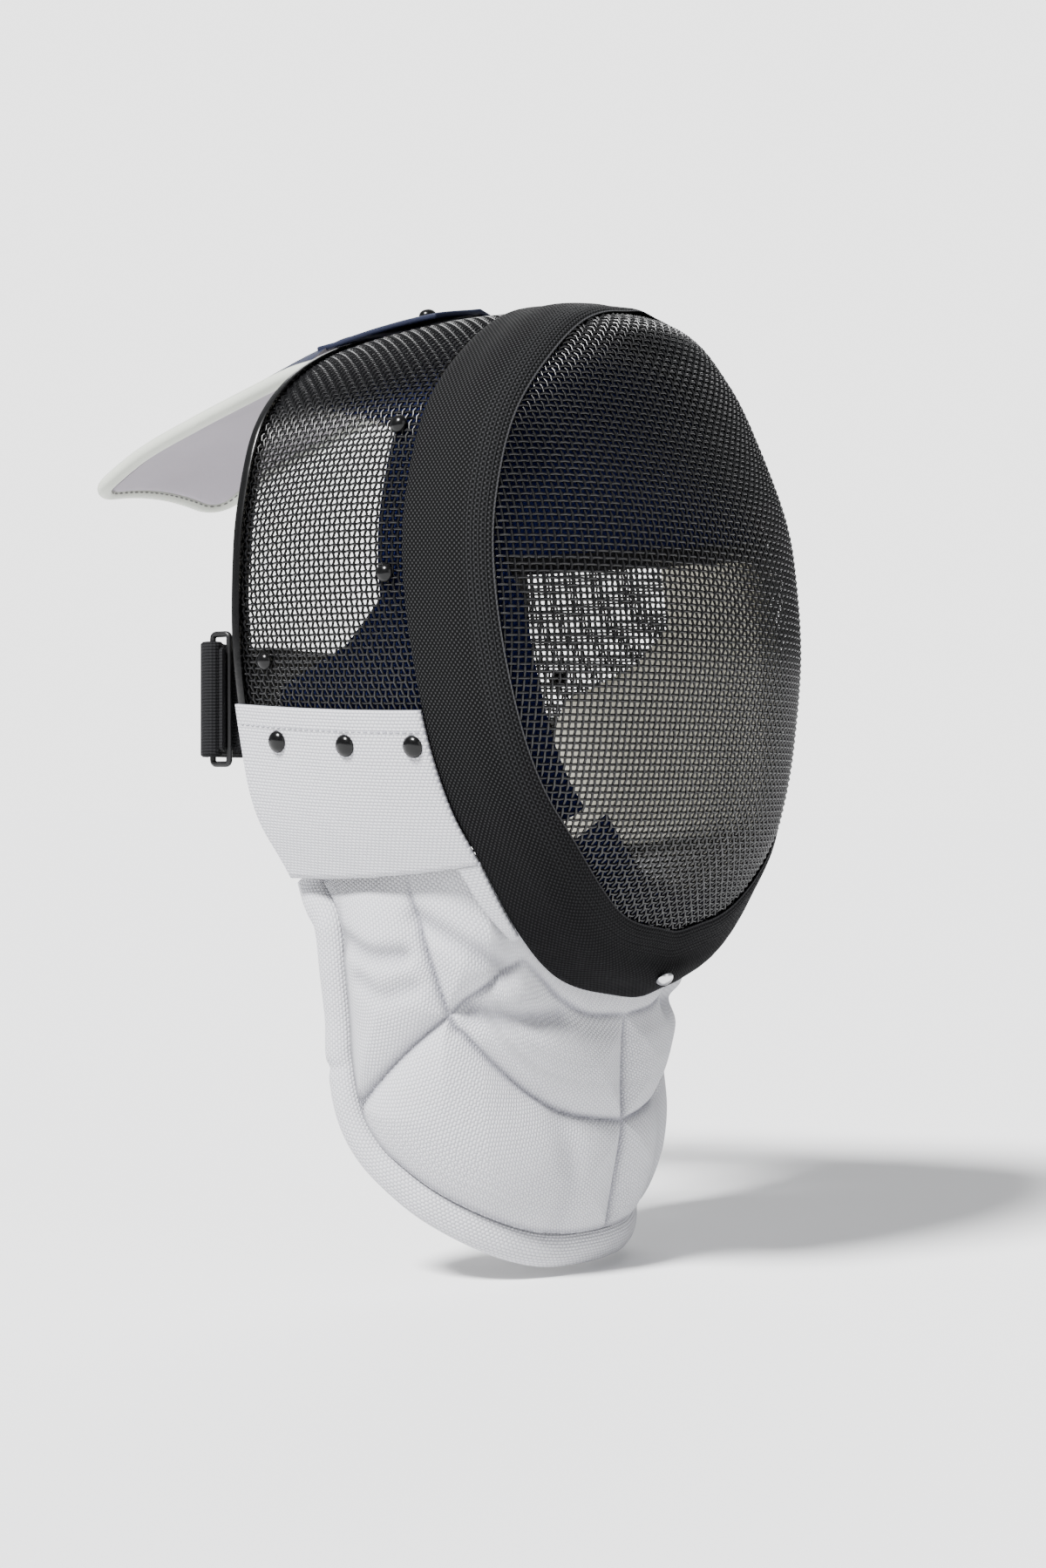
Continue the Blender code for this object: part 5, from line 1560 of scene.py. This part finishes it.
def rivet_places(nodes, radius):
    """The seat, way out and size of each plain rivet: its flat side is the seat."""
    seats, outs = [], []
    for name in nodes:
        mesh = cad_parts[name].data
        corners = np.array([vertex.co for vertex in mesh.vertices])
        areas = np.array([polygon.area for polygon in mesh.polygons])
        normals = np.array([polygon.normal for polygon in mesh.polygons])
        same = np.round(normals, 2)
        unique, which = np.unique(same, axis=0, return_inverse=True)
        flat = unique[np.argmax(np.bincount(which.ravel(), weights=areas))]
        outs.append(unit(-flat))
        middle = corners.mean(axis=0)
        seats.append(middle - outs[-1] * (np.dot(middle - corners, outs[-1]).max()))
    mesh = bpy.data.meshes.new("rivet_places")
    mesh.from_pydata([tuple(seat) for seat in seats], [], [])
    mesh.attributes.new("out", "FLOAT_VECTOR", "POINT").data.foreach_set("vector", np.ravel(outs))
    sizes = np.ravel([radius] * len(nodes))
    mesh.attributes.new("size", "FLOAT_VECTOR", "POINT").data.foreach_set("vector", sizes)
    return mesh


# %% [markdown]
# Black heads hold the lining and the panels, and a bright one closes the trim at the chin. The tree takes
# a place, a way out and a size for each, so one head makes all four sets.

# %% Set the rivets
RIVET_HEIGHT = 0.0026
head = rivet_head()
liner_names = [f"liner_rivet_{side}_{number}" for side in ("right", "left") for number in (1, 2, 3)]
panel_names = [f"panel_rivet_{side}_{number}" for side in ("right", "left") for number in (1, 2, 3)]
crown_names = ["crown_rivet_right", "crown_rivet_left"]
for set_name, nodes, width, finish, slot in (
        ("liner_rivets", liner_names, 0.0072, black_rivet, "rivet_black"),
        ("panel_rivets", panel_names, 0.0086, black_rivet, "rivet_black"),
        ("crown_rivets", crown_names, 0.0072, black_rivet, "rivet_black"),
        ("chin_rivets", ["chin_rivet"], 0.0072, bright_rivet, "rivet_bright")):
    source = rivet_places(nodes, (width / 2, width / 2, RIVET_HEIGHT))
    rivets = riveting.make(set_name, source, {"Head": head, "Finish": finish.material})
    hand_over(rivets, slot, *nodes)
bpy.data.objects.remove(head, do_unlink=True)

# %% [markdown]
# ## The rear strap
# A ribbed elastic strap passes behind the head, through a tall plastic loop on each side, and folds
# back on itself. A short tab of the same elastic holds each loop to the lining. Both are flat tapes on
# edge, so they are swept with a thin rounded section.

# %% Straps and tabs
STRAP_WIDTH = 0.045
STRAP_THICKNESS = 0.0016
STRAP_BULGE = 0.018
STRAP_DROP = 0.154
LOOP_HEIGHT = 0.053
LOOP_LENGTH = 0.0108
LOOP_BAR = 0.0024
LOOP_OFFSET = 0.0155
LOOP_INSET = 0.003
TAB_WIDTH = 0.040
TAB_THICKNESS = 0.0016
TAB_INSET = 0.0022
TAB_REACH = 0.010

strap_station = int(face.station_at(STRAP_DROP))
strap_edge = face.row(face.side_reach - EDGE_STEP)[strap_station]
strap_level = RIM_ABOVE_SEAT - STRAP_DROP
loop_half = abs(strap_edge[0]) - LOOP_INSET
bar_y = strap_edge[1] + EDGE_STEP + LOOP_OFFSET
print("loops stand", round(2 * loop_half, 3), "m apart")


def tape(name, route, width, thickness):
    """A tape on edge along a level route of x and y."""
    arcs = arc_lengths(route)
    even = np.linspace(0.0, arcs[-1], max(24, int(arcs[-1] / 0.0015)))
    line = np.column_stack([between(even, arcs, route), np.full(len(even), strap_level)])
    ahead = unit(np.gradient(line, axis=0))
    up = np.zeros_like(line) + (0.0, 0.0, 1.0)
    across = unit(np.cross(ahead, up))
    t, w = thickness / 2, width / 2
    side = np.linspace(-w + t, w - t, 25)
    profile = [(t, z) for z in side] + [(0.0, w)] + [(-t, z) for z in side[::-1]] + [(0.0, -w)]
    return swept(name, strap_elastic, np.array(profile), line, across, up)


def make_strap():
    turn_radius = LOOP_BAR / 2 + CLEARANCE + STRAP_THICKNESS

    def oval(angle, extra):
        x = -(loop_half + extra) * np.cos(angle)
        return np.stack([x, bar_y + (STRAP_BULGE + extra) * np.sin(angle)], axis=1)

    tail = oval(np.linspace(0.50, 0.0, 24), turn_radius)
    wrap_angle = np.linspace(0.0, math.pi, 16)[1:-1]
    wrap = np.stack([-loop_half - turn_radius * np.cos(wrap_angle),
                     bar_y - turn_radius * np.sin(wrap_angle)], axis=1)
    around = oval(np.linspace(0.0, math.pi / 2, 60), -turn_radius)
    right = np.vstack([tail, wrap, around])
    return tape("rear_strap", np.vstack([right, right[-2::-1] * (-1.0, 1.0)]), STRAP_WIDTH, STRAP_THICKNESS)


hand_over(make_strap(), "elastic_black", "back_strap")
for side, label in ((-1.0, "right"), (1.0, "left")):
    radius = LOOP_BAR / 2 + CLEARANCE + TAB_THICKNESS
    front_bar = bar_y - LOOP_LENGTH + LOOP_BAR
    start = loop_half - radius - TAB_INSET
    edge_y = bar_y - LOOP_OFFSET
    fold = [(loop_half - radius * math.cos(a), front_bar + radius * math.sin(a))
            for a in np.linspace(0.0, math.pi, 16)]
    path = np.array([(start, edge_y - TAB_REACH), (start, edge_y + TAB_INSET)] + fold) * (side, 1.0)
    hand_over(tape(f"tab_{label}", path, TAB_WIDTH, TAB_THICKNESS), "elastic_black", f"strap_tab_{label}")

# %% [markdown]
# A loop is one moulded ring, taller than the strap is wide. A circle swept round a rectangle with
# rounded corners makes it, closed on itself so that it has no seam.

# %% The tall loops
def make_loop(side, label):
    tall = (LOOP_HEIGHT - LOOP_BAR) / 2
    long = LOOP_LENGTH - LOOP_BAR
    corner = LOOP_BAR * 0.7
    route = []
    for y, z, start in ((0.0, 1.0, 0.0), (-long, 1.0, 0.5), (-long, -1.0, 1.0), (0.0, -1.0, 1.5)):
        for turn in np.linspace(0.0, 0.5, 5):
            angle = (start + turn) * math.pi
            base_y = y - corner if y == 0.0 else y + corner
            route.append((side * loop_half, bar_y + base_y + corner * math.cos(angle),
                          strap_level + z * (tall - corner) + corner * math.sin(angle)))
    route = np.array(route)
    tangent = unit(np.roll(route, -1, axis=0) - np.roll(route, 1, axis=0))
    across = np.zeros_like(route) + (1.0, 0.0, 0.0)
    out = unit(np.cross(tangent, across))
    turn = np.linspace(0.0, math.tau, 14, endpoint=False)
    profile = np.stack([np.cos(turn), np.sin(turn)], axis=1) * LOOP_BAR / 2
    return swept(f"loop_{label}", buckle_plastic, profile, route, across, out, closed=True)


for side, label in ((-1.0, "right"), (1.0, "left")):
    hand_over(make_loop(side, label), "plastic_black", f"strap_loop_{label}")

# %% [markdown]
# ## Floor, light and the end
# A pale floor and a white surround keep the mask readable from every side. One broad light comes from
# above on the camera's left, as in the photograph, and two weaker ones fill the other sides. The far
# lights have no fall-off, so the floor keeps one shade. The eye sees the surround as bright as the
# floor, while what it adds to the light on the mask stays low, so that folds and seams keep depth.

# %% Floor and light
floor_mesh = bpy.data.meshes.new("floor")
FLOOR_Z = cad_low.z - 0.002
FLOOR_HALF = 12.0
floor_corners = [(x * FLOOR_HALF, y * FLOOR_HALF, FLOOR_Z) for x, y in ((-1, -1), (1, -1), (1, 1), (-1, 1))]
floor_mesh.from_pydata(floor_corners, [], [(0, 1, 2, 3)])
floor_finish = Finish("pale floor", (0.86, 0.86, 0.865), 0.95, gloss=0.1)
floor_mesh.materials.append(floor_finish.material)
floor = new_piece("floor", floor_mesh)

world = bpy.data.worlds.new("surround")
bpy.context.scene.world = world
world.use_nodes = True
surround = world.node_tree
seen = surround.nodes["Background"]
seen.inputs["Color"].default_value = (1.0, 1.0, 1.0, 1.0)
seen.inputs["Strength"].default_value = 2.95
given = surround.nodes.new("ShaderNodeBackground")
given.inputs["Color"].default_value = (0.95, 0.97, 1.0, 1.0)
given.inputs["Strength"].default_value = 0.36
ray = surround.nodes.new("ShaderNodeLightPath")
either = surround.nodes.new("ShaderNodeMixShader")
surround.links.new(ray.outputs["Is Camera Ray"], either.inputs["Fac"])
surround.links.new(given.outputs["Background"], either.inputs[1])
surround.links.new(seen.outputs["Background"], either.inputs[2])
surround.links.new(either.outputs["Shader"], surround.nodes["World Output"].inputs["Surface"])


def far_light(name, direction, width, power):
    data = bpy.data.lights.new(name, "SUN")
    data.angle = math.radians(width)
    data.energy = power
    lamp = bpy.data.objects.new(name, data)
    bpy.context.scene.collection.objects.link(lamp)
    lamp.location = Vector(direction) * 3.0
    lamp.rotation_mode = "QUATERNION"
    lamp.rotation_quaternion = Vector(direction).to_track_quat("Z", "Y")


far_light("key", (-0.66, 0.12, 0.80), 14.0, 11.5)
far_light("fill", (-0.25, -0.95, 0.35), 40.0, 0.6)
far_light("back", (0.75, 0.45, 0.60), 40.0, 1.4)
